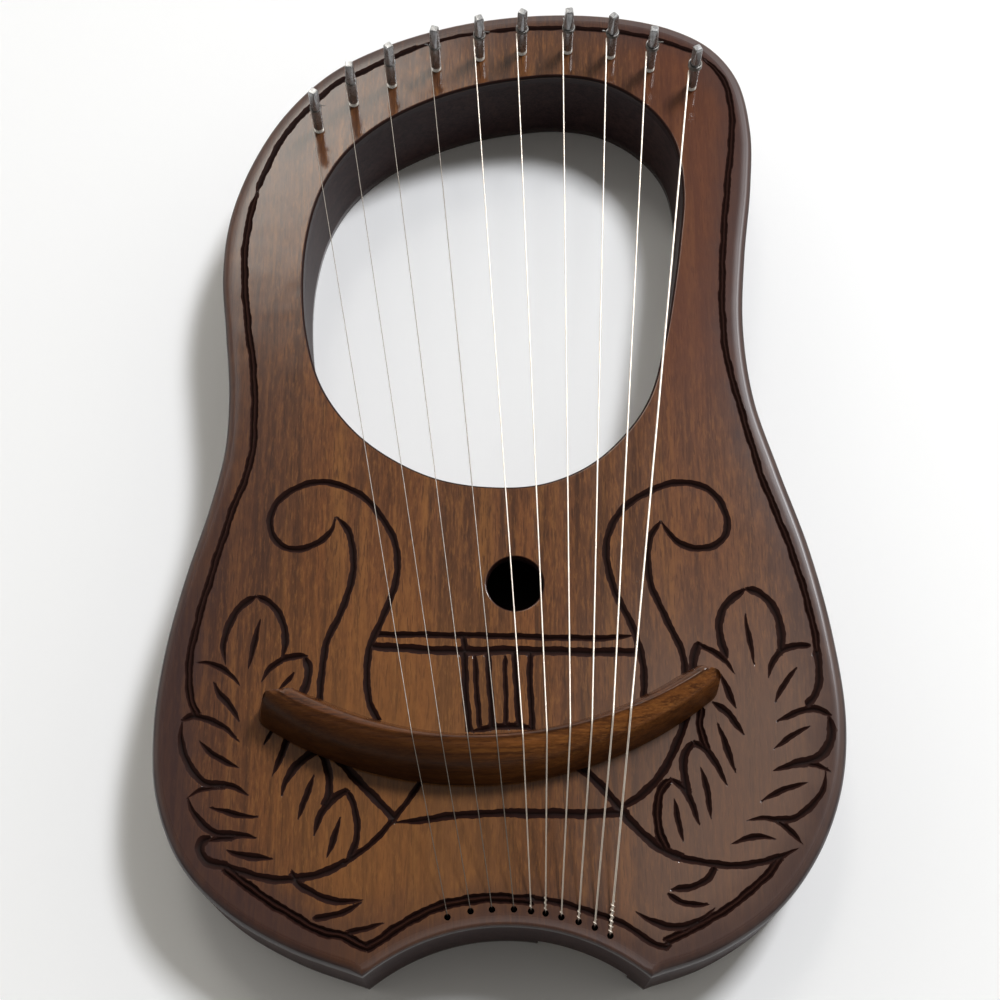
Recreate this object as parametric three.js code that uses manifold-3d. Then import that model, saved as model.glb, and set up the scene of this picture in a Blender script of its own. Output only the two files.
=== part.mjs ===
// A ten-string lyre harp: a hollow hardwood body with an arched opening, a carved soundboard,
// a crescent bridge, ten steel strings and ten tuning pins.
// The lyre lies on its back: +Z points out of the soundboard, +Y to the tuning pins, +X to the bass side.
// The origin is under the middle of the body, on the back face. All sizes are in millimetres.
import * as THREE from "three";
import { mergeVertices } from "three/addons/utils/BufferGeometryUtils.js";
import Module from "manifold-3d";

const wasm = await Module();
wasm.setup();

// ---- Driving dimensions ----
const bodyDepth = 46; // back face to front face
const frontThickness = 5; // soundboard
const backThickness = 4; // back plate
const frontRound = 3.5; // rounding of the soundboard's outer edge
const backRound = 2; // rounding of the back plate's outer edge
const gap = 0.3; // clearance between pieces that touch

const frontZ = bodyDepth; // the soundboard's outer face
const coreTopZ = bodyDepth - frontThickness; // where the soundboard is glued on
const coreBottomZ = backThickness; // where the back plate is glued on

const tipLeft = [-51, -212.8]; // the two points that the bottom arc runs between
const tipRight = [56, -212.8];
const arcRise = 18.6; // how far the bottom arc rises between the tips

const pinRadius = 2.2;
const pinHoleRadius = 2.32;
const pinLength = 48;
const pinAbove = 29.5; // of which this much stands above the front face
const pinHeadLength = 10; // the square, tapered part that the tuning key turns
const pinHeadAcross = 3.2; // across the flats at the tip
const coilHeight = 16.5; // middle of the string's winding above the front face
const coilTurns = 3;

const bridgeHeight = 22; // ridge above the front face
const stringHoleRadius = 1.25;
const ballRadius = 1.9;
const ballLength = 3.2;
const pocketDepth = 9; // the recess in the back that the ball ends sit in
const soundHole = { x: 6, y: -60, radius: 11.3 };

// One row per string, from the treble side to the bass side: its pin, where it crosses the bridge, its hole.
const strings = [
  { pin: [-79.9, 151.6], ridgeX: -33, hole: [-19.6, -191.2], diameter: 0.3 },
  { pin: [-65, 165.2], ridgeX: -22, hole: [-11, -189], diameter: 0.3 },
  { pin: [-48.2, 174.9], ridgeX: -12, hole: [-3, -188.4], diameter: 0.34 },
  { pin: [-28.6, 183.5], ridgeX: -1.2, hole: [5.2, -188.3], diameter: 0.38 },
  { pin: [-9.1, 189.2], ridgeX: 8.6, hole: [11.6, -189], diameter: 0.5 },
  { pin: [9.8, 192.3], ridgeX: 17.6, hole: [17, -189.8], diameter: 0.55 },
  { pin: [30.3, 192.9], ridgeX: 26.4, hole: [22.9, -191.2], diameter: 0.6 },
  { pin: [49.6, 190.3], ridgeX: 34.6, hole: [29.3, -192.9], diameter: 0.68 },
  { pin: [67, 183.4], ridgeX: 42.6, hole: [35.3, -195], diameter: 0.75 },
  { pin: [85.4, 173.6], ridgeX: 49.4, hole: [41, -198], diameter: 0.85 },
];

// ---- Outlines, as hand-set points that a smooth curve runs through ----
const outerPoints = [
  tipRight, [80, -204.5], [104, -189], [120.8, -168], [131.3, -143], [135, -116], [132.3, -82],
  [125, -45], [114.5, -10], [105.8, 22], [103, 55], [105.2, 88], [109.6, 124], [110.8, 152],
  [106.2, 178], [95, 194.5], [78, 204.8], [55, 210.8], [28, 212.8], [0, 210.8], [-25, 205.6],
  [-51, 196.2], [-76, 181.4], [-95.5, 159.8], [-109.2, 133.6], [-117, 107], [-118.8, 80],
  [-116, 52], [-113.2, 24], [-113.6, -2], [-118.6, -28], [-126.3, -57], [-132.4, -87], [-135, -118],
  [-132.2, -146], [-121.5, -171], [-103.5, -189.2], [-79, -203], tipLeft,
];
const openingPoints = [
  [28, 179.3], [8, 177.8], [-12, 173.6], [-32, 166.2], [-52, 154.6], [-68, 139], [-78, 120],
  [-83, 98], [-84, 75], [-81.4, 50], [-74.5, 27], [-62, 8.6], [-46, -4.8], [-26, -14.6],
  [-4, -18.3], [17, -17], [36, -9], [51, 4.6], [62, 21.5], [69, 46], [73.7, 71], [77.2, 95],
  [79.6, 121], [76.4, 146], [66, 162.6], [48, 175.2],
];
const chamberPoints = [
  [0, -29], [35, -23], [66, -13], [93, -22], [109, -46], [117.5, -73], [123.5, -101], [124.8, -122],
  [120.5, -146], [108, -164.5], [88, -175], [58, -174.5], [30, -168], [2, -166], [-26, -168],
  [-54, -174.5], [-86, -175.5], [-107.5, -164.5], [-121, -145], [-124.8, -120], [-122.5, -92],
  [-116, -62], [-107, -36], [-92, -20], [-68, -12.5], [-36, -22],
];

const outerSteps = 124;
const openingSteps = 76;
const chamberSteps = 52;
const arcSteps = 14;

// ---- Small tools ----
const lift = ([x, y]) => new THREE.Vector3(x, y, 0);

function smooth(points, closed, steps) {
  const curve = new THREE.CatmullRomCurve3(points.map(lift), closed, "centripetal");
  const spaced = curve.getSpacedPoints(steps);
  if (closed) spaced.pop();
  return spaced.map((p) => new THREE.Vector2(p.x, p.y));
}

// The circle of the bottom arc, from its chord and rise.
function tailCircle() {
  const halfChord = (tipRight[0] - tipLeft[0]) / 2;
  const radius = (halfChord ** 2 + arcRise ** 2) / (2 * arcRise);
  return { x: tipLeft[0] + halfChord, y: tipLeft[1] + arcRise - radius, radius, halfChord };
}
const tail = tailCircle();

function outerOutline() {
  const spread = Math.asin(tail.halfChord / tail.radius);
  const arc = new THREE.EllipseCurve(
    tail.x, tail.y, tail.radius, tail.radius, Math.PI / 2 + spread, Math.PI / 2 - spread, true,
  );
  return [...smooth(outerPoints, false, outerSteps), ...arc.getPoints(arcSteps).slice(1, -1)];
}

const outer = outerOutline();
const opening = smooth(openingPoints, true, openingSteps);
const chamber = smooth(chamberPoints, true, chamberSteps);

// A closed geometry as a manifold-3d solid, for cutting and joining.
function solid(geometry) {
  const bare = geometry.clone();
  bare.deleteAttribute("normal");
  bare.deleteAttribute("uv");
  const merged = mergeVertices(bare, 1e-4);
  const mesh = new wasm.Mesh({
    numProp: 3,
    vertProperties: new Float32Array(merged.attributes.position.array),
    triVerts: new Uint32Array(merged.index.array),
  });
  return new wasm.Manifold(mesh);
}

function geometryOf(made) {
  const mesh = made.getMesh();
  const geometry = new THREE.BufferGeometry();
  geometry.setAttribute("position", new THREE.BufferAttribute(mesh.vertProperties, 3));
  geometry.setIndex(new THREE.BufferAttribute(mesh.triVerts, 1));
  geometry.computeVertexNormals();
  return geometry;
}

function plate(outline, holes, bottom, top) {
  const shape = new THREE.Shape(outline);
  shape.holes = holes.map((hole) => new THREE.Path(hole));
  const geometry = new THREE.ExtrudeGeometry(shape, { depth: top - bottom, bevelEnabled: false });
  return solid(geometry.translate(0, 0, bottom));
}

// A slab of the outline whose upper edge is rounded over; below its middle it is cut off square.
function roundedSlab(outline, bottom, top, round) {
  const shape = new THREE.Shape(outline);
  const geometry = new THREE.ExtrudeGeometry(shape, {
    depth: top - bottom,
    bevelThickness: round,
    bevelSize: round,
    bevelOffset: -round,
    bevelSegments: 2,
  });
  const slab = solid(geometry.translate(0, 0, bottom - round));
  return slab.intersect(box([-200, -250, bottom], [200, 250, top]));
}

function box(low, high) {
  const size = high.map((value, i) => value - low[i]);
  const geometry = new THREE.BoxGeometry(...size);
  return solid(geometry.translate(...low.map((value, i) => value + size[i] / 2)));
}

// An upright cylinder, with a flat face of its polygon towards +X.
function post(x, y, radius, bottom, top, sides) {
  const geometry = new THREE.CylinderGeometry(radius, radius, top - bottom, sides);
  return solid(geometry.rotateX(Math.PI / 2).translate(x, y, (top + bottom) / 2));
}

const group = new THREE.Group();

function add(name, geometry, material) {
  const mesh = new THREE.Mesh(geometry, material);
  mesh.name = name;
  group.add(mesh);
  return mesh;
}

const wood = (color) => new THREE.MeshStandardMaterial({ color, roughness: 0.4, metalness: 0 });
const metal = (color) => new THREE.MeshStandardMaterial({ color, roughness: 0.3, metalness: 1 });
const soundboardWood = wood(0x6b4530);
const bodyWood = wood(0x3a2622);
const bridgeWood = wood(0x7a4a1e);
const braceWood = wood(0xc9a778);
const pinSteel = metal(0x8d8d8f);
const plainSteel = metal(0xb9bcc0);
const woundBronze = metal(0xd8bfa6);
const ballBrass = metal(0xc9a24a);

// ---- Body ----
// Sector of a ring around the bottom arc's centre; angles are from +Y towards +X, in degrees.
function tailSector(inner, outerRadius, fromDeg, toDeg, bottom, top) {
  const steps = 12;
  const at = (radius, deg) => {
    const a = THREE.MathUtils.degToRad(deg);
    return new THREE.Vector2(tail.x + radius * Math.sin(a), tail.y + radius * Math.cos(a));
  };
  const outline = [];
  for (let i = 0; i <= steps; i++) outline.push(at(inner, toDeg + ((fromDeg - toDeg) * i) / steps));
  for (let i = 0; i <= steps; i++) outline.push(at(outerRadius, fromDeg + ((toDeg - fromDeg) * i) / steps));
  return plate(outline.reverse(), [], bottom, top);
}

// The recess in the back that holds the ball ends. On the bass side it is open to the arc.
function ballPocket() {
  const closed = tailSector(tail.radius + 2, tail.radius + 9, -19, 33, -1, pocketDepth);
  const open = tailSector(tail.radius - 2, tail.radius + 4, 8, 33, -1, pocketDepth);
  return closed.add(open);
}

function soundboard() {
  let made = roundedSlab(outer, coreTopZ, frontZ, frontRound);
  made = made.subtract(plate(opening, [], coreTopZ - 1, frontZ + 1));
  made = made.subtract(post(soundHole.x, soundHole.y, soundHole.radius, coreTopZ - 1, frontZ + 1, 32));
  for (const { pin, hole } of strings) {
    made = made.subtract(post(...pin, pinHoleRadius, coreTopZ - 1, frontZ + 1, 24));
    made = made.subtract(post(...hole, stringHoleRadius, coreTopZ - 1, frontZ + 1, 10));
  }
  return made;
}

function backPlate() {
  const upsideDown = new THREE.Matrix4().makeScale(1, 1, -1);
  const slab = roundedSlab(outer, 0, backThickness, backRound);
  const turned = geometryOf(slab).applyMatrix4(upsideDown).translate(0, 0, backThickness);
  const index = turned.index.array;
  for (let i = 0; i < index.length; i += 3) [index[i + 1], index[i + 2]] = [index[i + 2], index[i + 1]];
  return solid(turned).subtract(plate(opening, [], -1, backThickness + 1)).subtract(ballPocket());
}

// The thick ring between the two plates, which is sawn into the pieces below.
function core() {
  let made = plate(outer, [opening, chamber], coreBottomZ, coreTopZ).subtract(ballPocket());
  for (const { pin, hole } of strings) {
    made = made.subtract(post(...pin, pinHoleRadius, frontZ + pinAbove - pinLength - 2, frontZ + 1, 24));
    made = made.subtract(post(...hole, stringHoleRadius, pocketDepth - 1, frontZ + 1, 10));
  }
  return made;
}

const yokeY = 118; // the arms meet the pin block here
const railX = 54; // the waist rail meets the ribs here
const tailX = 96; // the tail block meets the ribs here
const tailY = -150;
const zSpan = [coreBottomZ - 1, coreTopZ + 1];
const ring = core();
const slice = (x0, y0, x1, y1) => box([x0, y0, zSpan[0]], [x1, y1, zSpan[1]]);
const tailSlice = slice(-tailX, -250, tailX, tailY);
const railSlice = slice(-railX, -60, railX, 60);
const sides = ring.subtract(tailSlice).subtract(railSlice);

add("soundboard", geometryOf(soundboard()), soundboardWood);
add("back_plate", geometryOf(backPlate()), bodyWood);
add("pin_block", geometryOf(ring.intersect(slice(-200, yokeY, 200, 250))), bodyWood);
add("left_rib", geometryOf(sides.intersect(slice(-200, -250, 0, yokeY))), bodyWood);
add("right_rib", geometryOf(sides.intersect(slice(0, -250, 200, yokeY))), bodyWood);
add("tail_block", geometryOf(ring.intersect(tailSlice)), bodyWood);
add("waist_rail", geometryOf(ring.intersect(railSlice)), bodyWood);

// ---- Braces glued under the soundboard ----
function brace(name, y, halfLength, width, height) {
  const geometry = new THREE.BoxGeometry(2 * halfLength, width, height);
  add(name, geometry.translate(0, y, coreTopZ - height / 2), braceWood);
}
brace("upper_brace", -88, 114, 7, 10);
brace("bridge_brace", -128, 116, 9, 13);

// ---- Bridge ----
// Its foot lies between two arcs, with the back corners of both ends cut off.
// A section swept along the ridge gives its front face, and one swept along the back arc gives its back.
const bridgeFront = { x: -11.8, y: 8.4, radius: 149.9 };
const bridgeBack = { x: -8.3, y: 22.3, radius: 143.6 };
const bridgeRidge = { x: -10.8, y: 34.3, radius: 162.7 };
const bridgeEnds = [-93.5, 85]; // at its foot
const bridgeEndCorners = [-109.9, -101.5]; // y of the back corner of each end
const bridgeShoulders = [-70, 70]; // where the back arc stops and the back runs straight to those corners
const bridgeEndLean = [4, 1]; // how far each end leans inwards on the way up
const bridgeBackLean = 6; // how far its back leans forwards on the way up

// The angle from straight down at which a circle crosses the line x.
const angleAt = (circle, x) => Math.asin((x - circle.x) / circle.radius);

// A section swept along part of a circle, given as heights above the face and distances behind the circle.
function alongArc({ x, y, radius }, fromDeg, toDeg, section) {
  const down = (deg) => THREE.MathUtils.degToRad(deg - 90);
  const path = new (class extends THREE.Curve {
    getPoint(t, target = new THREE.Vector3()) {
      const a = down(fromDeg + (toDeg - fromDeg) * t);
      return target.set(x + radius * Math.cos(a), y + radius * Math.sin(a), frontZ);
    }
  })();
  const shape = new THREE.Shape(section.map(([height, behind]) => new THREE.Vector2(-height, behind)));
  return solid(new THREE.ExtrudeGeometry(shape, { steps: 28, bevelEnabled: false, extrudePath: path }));
}

function bridge() {
  const steps = 24;
  const outline = [];
  const follow = (circle, from, to) => {
    const start = angleAt(circle, from);
    const end = angleAt(circle, to);
    for (let i = 0; i <= steps; i++) {
      const a = start + ((end - start) * i) / steps;
      const x = circle.x + circle.radius * Math.sin(a);
      outline.push(new THREE.Vector2(x, circle.y - circle.radius * Math.cos(a)));
    }
  };
  const [left, right] = bridgeEnds;
  const [leftLean, rightLean] = bridgeEndLean;
  const [leftShoulder, rightShoulder] = bridgeShoulders;
  follow(bridgeFront, left, right);
  outline.push(new THREE.Vector2(right, bridgeEndCorners[1]));
  follow(bridgeBack, rightShoulder, leftShoulder);
  outline.push(new THREE.Vector2(left, bridgeEndCorners[0]));
  const blank = plate(outline, [], frontZ, frontZ + bridgeHeight);
  const upright = new THREE.Shape([
    new THREE.Vector2(left, 0),
    new THREE.Vector2(right, 0),
    new THREE.Vector2(right - rightLean, bridgeHeight + 1),
    new THREE.Vector2(left + leftLean, bridgeHeight + 1),
  ]);
  const ends = new THREE.ExtrudeGeometry(upright, { depth: 200, bevelEnabled: false });
  ends.rotateX(Math.PI / 2).translate(0, 0, frontZ);

  const front = alongArc(bridgeRidge, -34, 39, [
    [-1, -14.5], [1, -14.2], [8, -11.2], [14, -7.2], [19, -3.2], [21.4, -0.9],
    [bridgeHeight, 0.3], [bridgeHeight - 0.6, 1.6], [bridgeHeight - 2.4, 6], [-1, 20],
  ]);
  const back = alongArc(bridgeBack, -40, 44, [
    [-1, -60], [bridgeHeight + 1, -60], [bridgeHeight + 1, -bridgeBackLean],
    [bridgeHeight / 2, -bridgeBackLean / 2], [0, 0], [-1, 0],
  ]);
  return blank.intersect(solid(ends)).intersect(front).intersect(back);
}
add("bridge", geometryOf(bridge()), bridgeWood);

// ---- Tuning pins, their windings, the strings and their ball ends ----
// A path that keeps its own corners, one step of an extrusion to each stretch.
class Corners extends THREE.Curve {
  constructor(points) {
    super();
    this.points = points;
  }
  getUtoTmapping(u) {
    return u;
  }
  getPoint(t, target = new THREE.Vector3()) {
    const along = Math.min(Math.max(t, 0), 1) * (this.points.length - 1);
    const i = Math.min(Math.floor(along), this.points.length - 2);
    return target.lerpVectors(this.points[i], this.points[i + 1], along - i);
  }
}

function disc(radius, sides) {
  const points = [];
  for (let i = 0; i < sides; i++) {
    const a = (2 * Math.PI * i) / sides;
    points.push(new THREE.Vector2(radius * Math.cos(a), radius * Math.sin(a)));
  }
  return new THREE.Shape(points);
}

function tuningPin(x, y) {
  const top = frontZ + pinAbove;
  const chamfer = 0.5;
  const profile = [
    [0, top - pinLength], [pinRadius - chamfer, top - pinLength], [pinRadius, top - pinLength + chamfer],
    [pinRadius, top - chamfer], [pinRadius - chamfer, top], [0, top],
  ].map(([r, z]) => new THREE.Vector2(r, z));
  const shaft = solid(new THREE.LatheGeometry(profile, 16).rotateX(Math.PI / 2));
  const corner = Math.SQRT1_2; // across the flats to half the diagonal
  const widen = 1.9; // the taper is carried this far down, where it is wider than the shaft
  const slope = (2 * pinRadius - pinHeadAcross) / pinHeadLength;
  const low = pinHeadAcross + slope * pinHeadLength * widen;
  const headGeometry = new THREE.CylinderGeometry(
    pinHeadAcross * corner, low * corner, pinHeadLength * widen, 4, 1, false, Math.PI / 4,
  );
  const head = solid(headGeometry.rotateX(Math.PI / 2).translate(0, 0, top - (pinHeadLength * widen) / 2));
  const stem = box([-5, -5, top - pinLength - 1], [5, 5, top - pinHeadLength]);
  const eye = solid(new THREE.CylinderGeometry(0.6, 0.6, 8, 8).translate(0, 0, frontZ + coilHeight + 1.6));
  return geometryOf(shaft.intersect(head.add(stem)).subtract(eye)).translate(x, y, 0);
}

function winding(x, y, diameter) {
  const inner = pinRadius + gap;
  const half = (coilTurns * diameter) / 2;
  const middle = frontZ + coilHeight;
  const profile = [
    [inner, middle - half], [inner + diameter, middle - half], [inner + diameter, middle + half],
    [inner, middle + half], [inner, middle - half],
  ].map(([r, z]) => new THREE.Vector2(r, z));
  return new THREE.LatheGeometry(profile, 16).rotateX(Math.PI / 2).translate(x, y, 0);
}

// From the ball end up through the tail, over the bridge and on to the treble side of the pin.
function stringPath({ pin, ridgeX, hole, diameter }) {
  const beside = pinRadius + gap + diameter / 2;
  const reach = pinRadius + 2 * gap + 1.6 * diameter;
  const short = Math.sqrt(reach ** 2 - beside ** 2);
  const ridgeY = bridgeRidge.y - bridgeRidge.radius * Math.cos(angleAt(bridgeRidge, ridgeX));
  return [
    [...hole, pocketDepth + gap],
    [...hole, frontZ - 1],
    [...hole, frontZ + 0.6],
    [ridgeX, ridgeY, frontZ + bridgeHeight + diameter / 2 + gap],
    [pin[0] - beside, pin[1] - short, frontZ + coilHeight],
  ].map((p) => new THREE.Vector3(...p));
}

function stringGeometry(row) {
  const path = new Corners(stringPath(row));
  const steps = path.points.length - 1;
  const along = { steps, bevelEnabled: false, extrudePath: path };
  return new THREE.ExtrudeGeometry(disc(row.diameter / 2, 8), along);
}

function ballEnd([x, y]) {
  const bore = 0.7;
  const profile = [
    [bore, -ballLength / 2], [ballRadius, -ballLength / 2], [ballRadius, ballLength / 2],
    [bore, ballLength / 2], [bore, -ballLength / 2],
  ].map(([r, along]) => new THREE.Vector2(r, along));
  const geometry = new THREE.LatheGeometry(profile, 10).rotateZ(Math.PI / 2);
  return geometry.translate(x, y, pocketDepth - ballRadius - gap);
}

const woundFrom = 4; // the strings from here on are wound
strings.forEach((row, i) => {
  const number = i + 1;
  const stringMaterial = i < woundFrom ? plainSteel : woundBronze;
  add(`tuning_pin_${number}`, tuningPin(...row.pin), pinSteel);
  add(`string_winding_${number}`, winding(...row.pin, row.diameter), stringMaterial);
  add(`string_${number}`, stringGeometry(row), stringMaterial);
  add(`ball_end_${number}`, ballEnd(row.hole), ballBrass);
});

export default group;
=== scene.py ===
"""The ten-string lyre harp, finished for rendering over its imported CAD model.

Sizes are in millimetres until a mesh is made, and the axes are the CAD's: +Z out of the soundboard,
+Y to the tuning pins, +X to the bass side, with the back face at Z = 0.
"""

import math

import bmesh
import bpy
import numpy as np
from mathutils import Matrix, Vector, kdtree
from mathutils.geometry import delaunay_2d_cdt


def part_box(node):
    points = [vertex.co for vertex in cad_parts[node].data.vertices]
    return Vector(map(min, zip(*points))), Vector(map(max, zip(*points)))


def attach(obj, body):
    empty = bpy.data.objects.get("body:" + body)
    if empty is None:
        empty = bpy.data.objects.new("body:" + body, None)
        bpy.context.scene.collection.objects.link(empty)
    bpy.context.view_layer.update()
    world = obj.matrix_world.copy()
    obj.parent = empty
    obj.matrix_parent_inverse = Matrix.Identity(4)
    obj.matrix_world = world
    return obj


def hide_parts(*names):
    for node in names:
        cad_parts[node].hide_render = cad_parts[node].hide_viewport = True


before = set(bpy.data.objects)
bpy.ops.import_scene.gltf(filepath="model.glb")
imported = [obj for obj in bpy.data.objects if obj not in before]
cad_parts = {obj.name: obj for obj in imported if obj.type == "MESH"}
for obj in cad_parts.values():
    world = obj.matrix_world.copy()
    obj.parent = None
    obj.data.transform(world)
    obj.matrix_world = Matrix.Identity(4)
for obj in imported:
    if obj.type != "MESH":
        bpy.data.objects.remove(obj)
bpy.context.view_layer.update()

MM = 0.001

# ---- Sizes, as in the CAD ----
FACE_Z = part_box("soundboard")[1][2] / MM
CORE_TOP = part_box("soundboard")[0][2] / MM
CORE_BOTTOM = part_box("back_plate")[1][2] / MM
RIDGE_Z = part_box("bridge")[1][2] / MM
TIP_LEFT, TIP_RIGHT = (-51, -212.8), (56, -212.8)
ARC_RISE = 18.6
PIN_RADIUS = 2.2
PIN_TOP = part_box("tuning_pin_1")[1][2] / MM
PIN_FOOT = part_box("tuning_pin_1")[0][2] / MM
PIN_HEAD = 10.0
PIN_ACROSS = 3.2
PIN_HOLE = 2.32
COIL_Z = FACE_Z + 16.5
COIL_GAP = 0.04
STRING_HOLE = 1.25
POCKET_TOP = 9.0
BALL_RADIUS = 1.9
BALL_LENGTH = 3.2
BALL_Z = POCKET_TOP - BALL_RADIUS - 0.3
SOUND_HOLE = (6, -60, 11.3)

# From the treble side to the bass side: pin, where the string crosses the bridge, hole, diameter.
STRINGS = [
    ((-79.9, 151.6), -33, (-19.6, -191.2), 0.3),
    ((-65, 165.2), -22, (-11, -189), 0.3),
    ((-48.2, 174.9), -12, (-3, -188.4), 0.34),
    ((-28.6, 183.5), -1.2, (5.2, -188.3), 0.38),
    ((-9.1, 189.2), 8.6, (11.6, -189), 0.5),
    ((9.8, 192.3), 17.6, (17, -189.8), 0.55),
    ((30.3, 192.9), 26.4, (22.9, -191.2), 0.6),
    ((49.6, 190.3), 34.6, (29.3, -192.9), 0.68),
    ((67, 183.4), 42.6, (35.3, -195), 0.75),
    ((85.4, 173.6), 49.4, (41, -198), 0.85),
]
FIRST_WOUND = 5
# How far up each string the twist that locks its ball end reaches above the hole.
TWISTS = {5: 1.5, 6: 6, 7: 1.5, 8: 3.5, 9: 2, 10: 12}

OUTER = [
    TIP_RIGHT, (80, -204.5), (104, -189), (120.8, -168), (131.3, -143), (135, -116), (132.3, -82),
    (125, -45), (114.5, -10), (105.8, 22), (103, 55), (105.2, 88), (109.6, 124), (110.8, 152),
    (106.2, 178), (95, 194.5), (78, 204.8), (55, 210.8), (28, 212.8), (0, 210.8), (-25, 205.6),
    (-51, 196.2), (-76, 181.4), (-95.5, 159.8), (-109.2, 133.6), (-117, 107), (-118.8, 80),
    (-116, 52), (-113.2, 24), (-113.6, -2), (-118.6, -28), (-126.3, -57), (-132.4, -87), (-135, -118),
    (-132.2, -146), (-121.5, -171), (-103.5, -189.2), (-79, -203), TIP_LEFT,
]
OPENING = [
    (28, 179.3), (8, 177.8), (-12, 173.6), (-32, 166.2), (-52, 154.6), (-68, 139), (-78, 120),
    (-83, 98), (-84, 75), (-81.4, 50), (-74.5, 27), (-62, 8.6), (-46, -4.8), (-26, -14.6),
    (-4, -18.3), (17, -17), (36, -9), (51, 4.6), (62, 21.5), (69, 46), (73.7, 71), (77.2, 95),
    (79.6, 121), (76.4, 146), (66, 162.6), (48, 175.2),
]
CHAMBER = [
    (0, -29), (35, -23), (66, -13), (93, -22), (109, -46), (117.5, -73), (123.5, -101), (124.8, -122),
    (120.5, -146), (108, -164.5), (88, -175), (58, -174.5), (30, -168), (2, -166), (-26, -168),
    (-54, -174.5), (-86, -175.5), (-107.5, -164.5), (-121, -145), (-124.8, -120), (-122.5, -92),
    (-116, -62), (-107, -36), (-92, -20), (-68, -12.5), (-36, -22),
]

# ---- The carving ----
# Each cut is its width, the shares of its length that its start and end taper over, and its points.
# A cut is one V groove; a doubled cut is two side by side.
BORDER = [
    (2.2, 0.05, 0, [(-106, 119.5), (-103, 129), (-98.5, 141), (-92.5, 152.5), (-85, 162), (-77.5, 171),
      (-70.8, 176.8), (-61.7, 181.4), (-51.7, 187.2), (-45, 190.9), (-38, 194.2)]),
    (1.5, 0, 0, [(-38.6, 193.8), (-31.7, 196.6), (-26.7, 198.3), (-19, 200.4), (-11.7, 201.8),
      (-6, 202.6)]),
    (2, 0.1, 0.05, [(-7, 202.5), (0, 203.6), (8.3, 204.4), (20, 204.9), (30, 204.9), (40, 204.4),
      (48.3, 203.7), (57, 202.2), (66.7, 200.1), (72, 198.2), (80, 195.2), (88, 191.4)]),
]
DOUBLE_BORDER = [
    (2.5, 0.05, 0, [(-105.5, 121), (-108.4, 106), (-109.6, 90), (-108.6, 72), (-106.2, 53), (-103.2, 34),
      (-101.8, 15), (-101.8, -2), (-103.8, -14), (-107.5, -25), (-112, -42), (-115.6, -57), (-119, -72),
      (-121.4, -86), (-122, -98), (-120.6, -107), (-118, -113.5)]),
    (2.4, 0.06, 0, [(89, 190.5), (96.2, 183.4), (100.8, 174.5), (102.6, 163), (102.2, 148), (100, 130),
      (97.4, 108), (95.4, 86), (94.2, 62), (95, 41), (98.2, 24), (102.6, 4), (107.4, -16), (112.4, -31),
      (117, -46), (121, -62), (124, -78), (125, -89)]),
    (3, 0.03, 0, [(-104.2, -172), (-97.2, -178), (-89, -183.8), (-80.3, -189), (-72, -194), (-65, -196.8),
      (-58, -198.4), (-53, -201), (-49.5, -202.2)]),
    (3.1, 0, 0, [(-49.5, -202.2), (-45.5, -200.2), (-39, -195.8), (-32, -191.4), (-25, -188.2),
      (-17, -185.8), (-8, -184.4), (2, -184.3), (12, -184.9)]),
    (2.6, 0, 0, [(105.8, -168.8), (102.3, -173.6), (97, -178.8), (91.5, -183.4), (84, -188.6),
      (76, -193.4), (68.5, -197), (61.6, -200)]),
]
TAIL_BORDER = [
    (2.2, 0.1, 0, [(8, -184), (18, -185.2), (27, -187.2), (35.5, -189.8), (43, -192.6), (49, -195.4),
      (54, -199), (58.4, -201.7), (61.4, -202.2)]),
    (1.6, 0, 0.3, [(61.4, -202.6), (62.6, -201.2), (61.4, -199.6)]),
]
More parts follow.
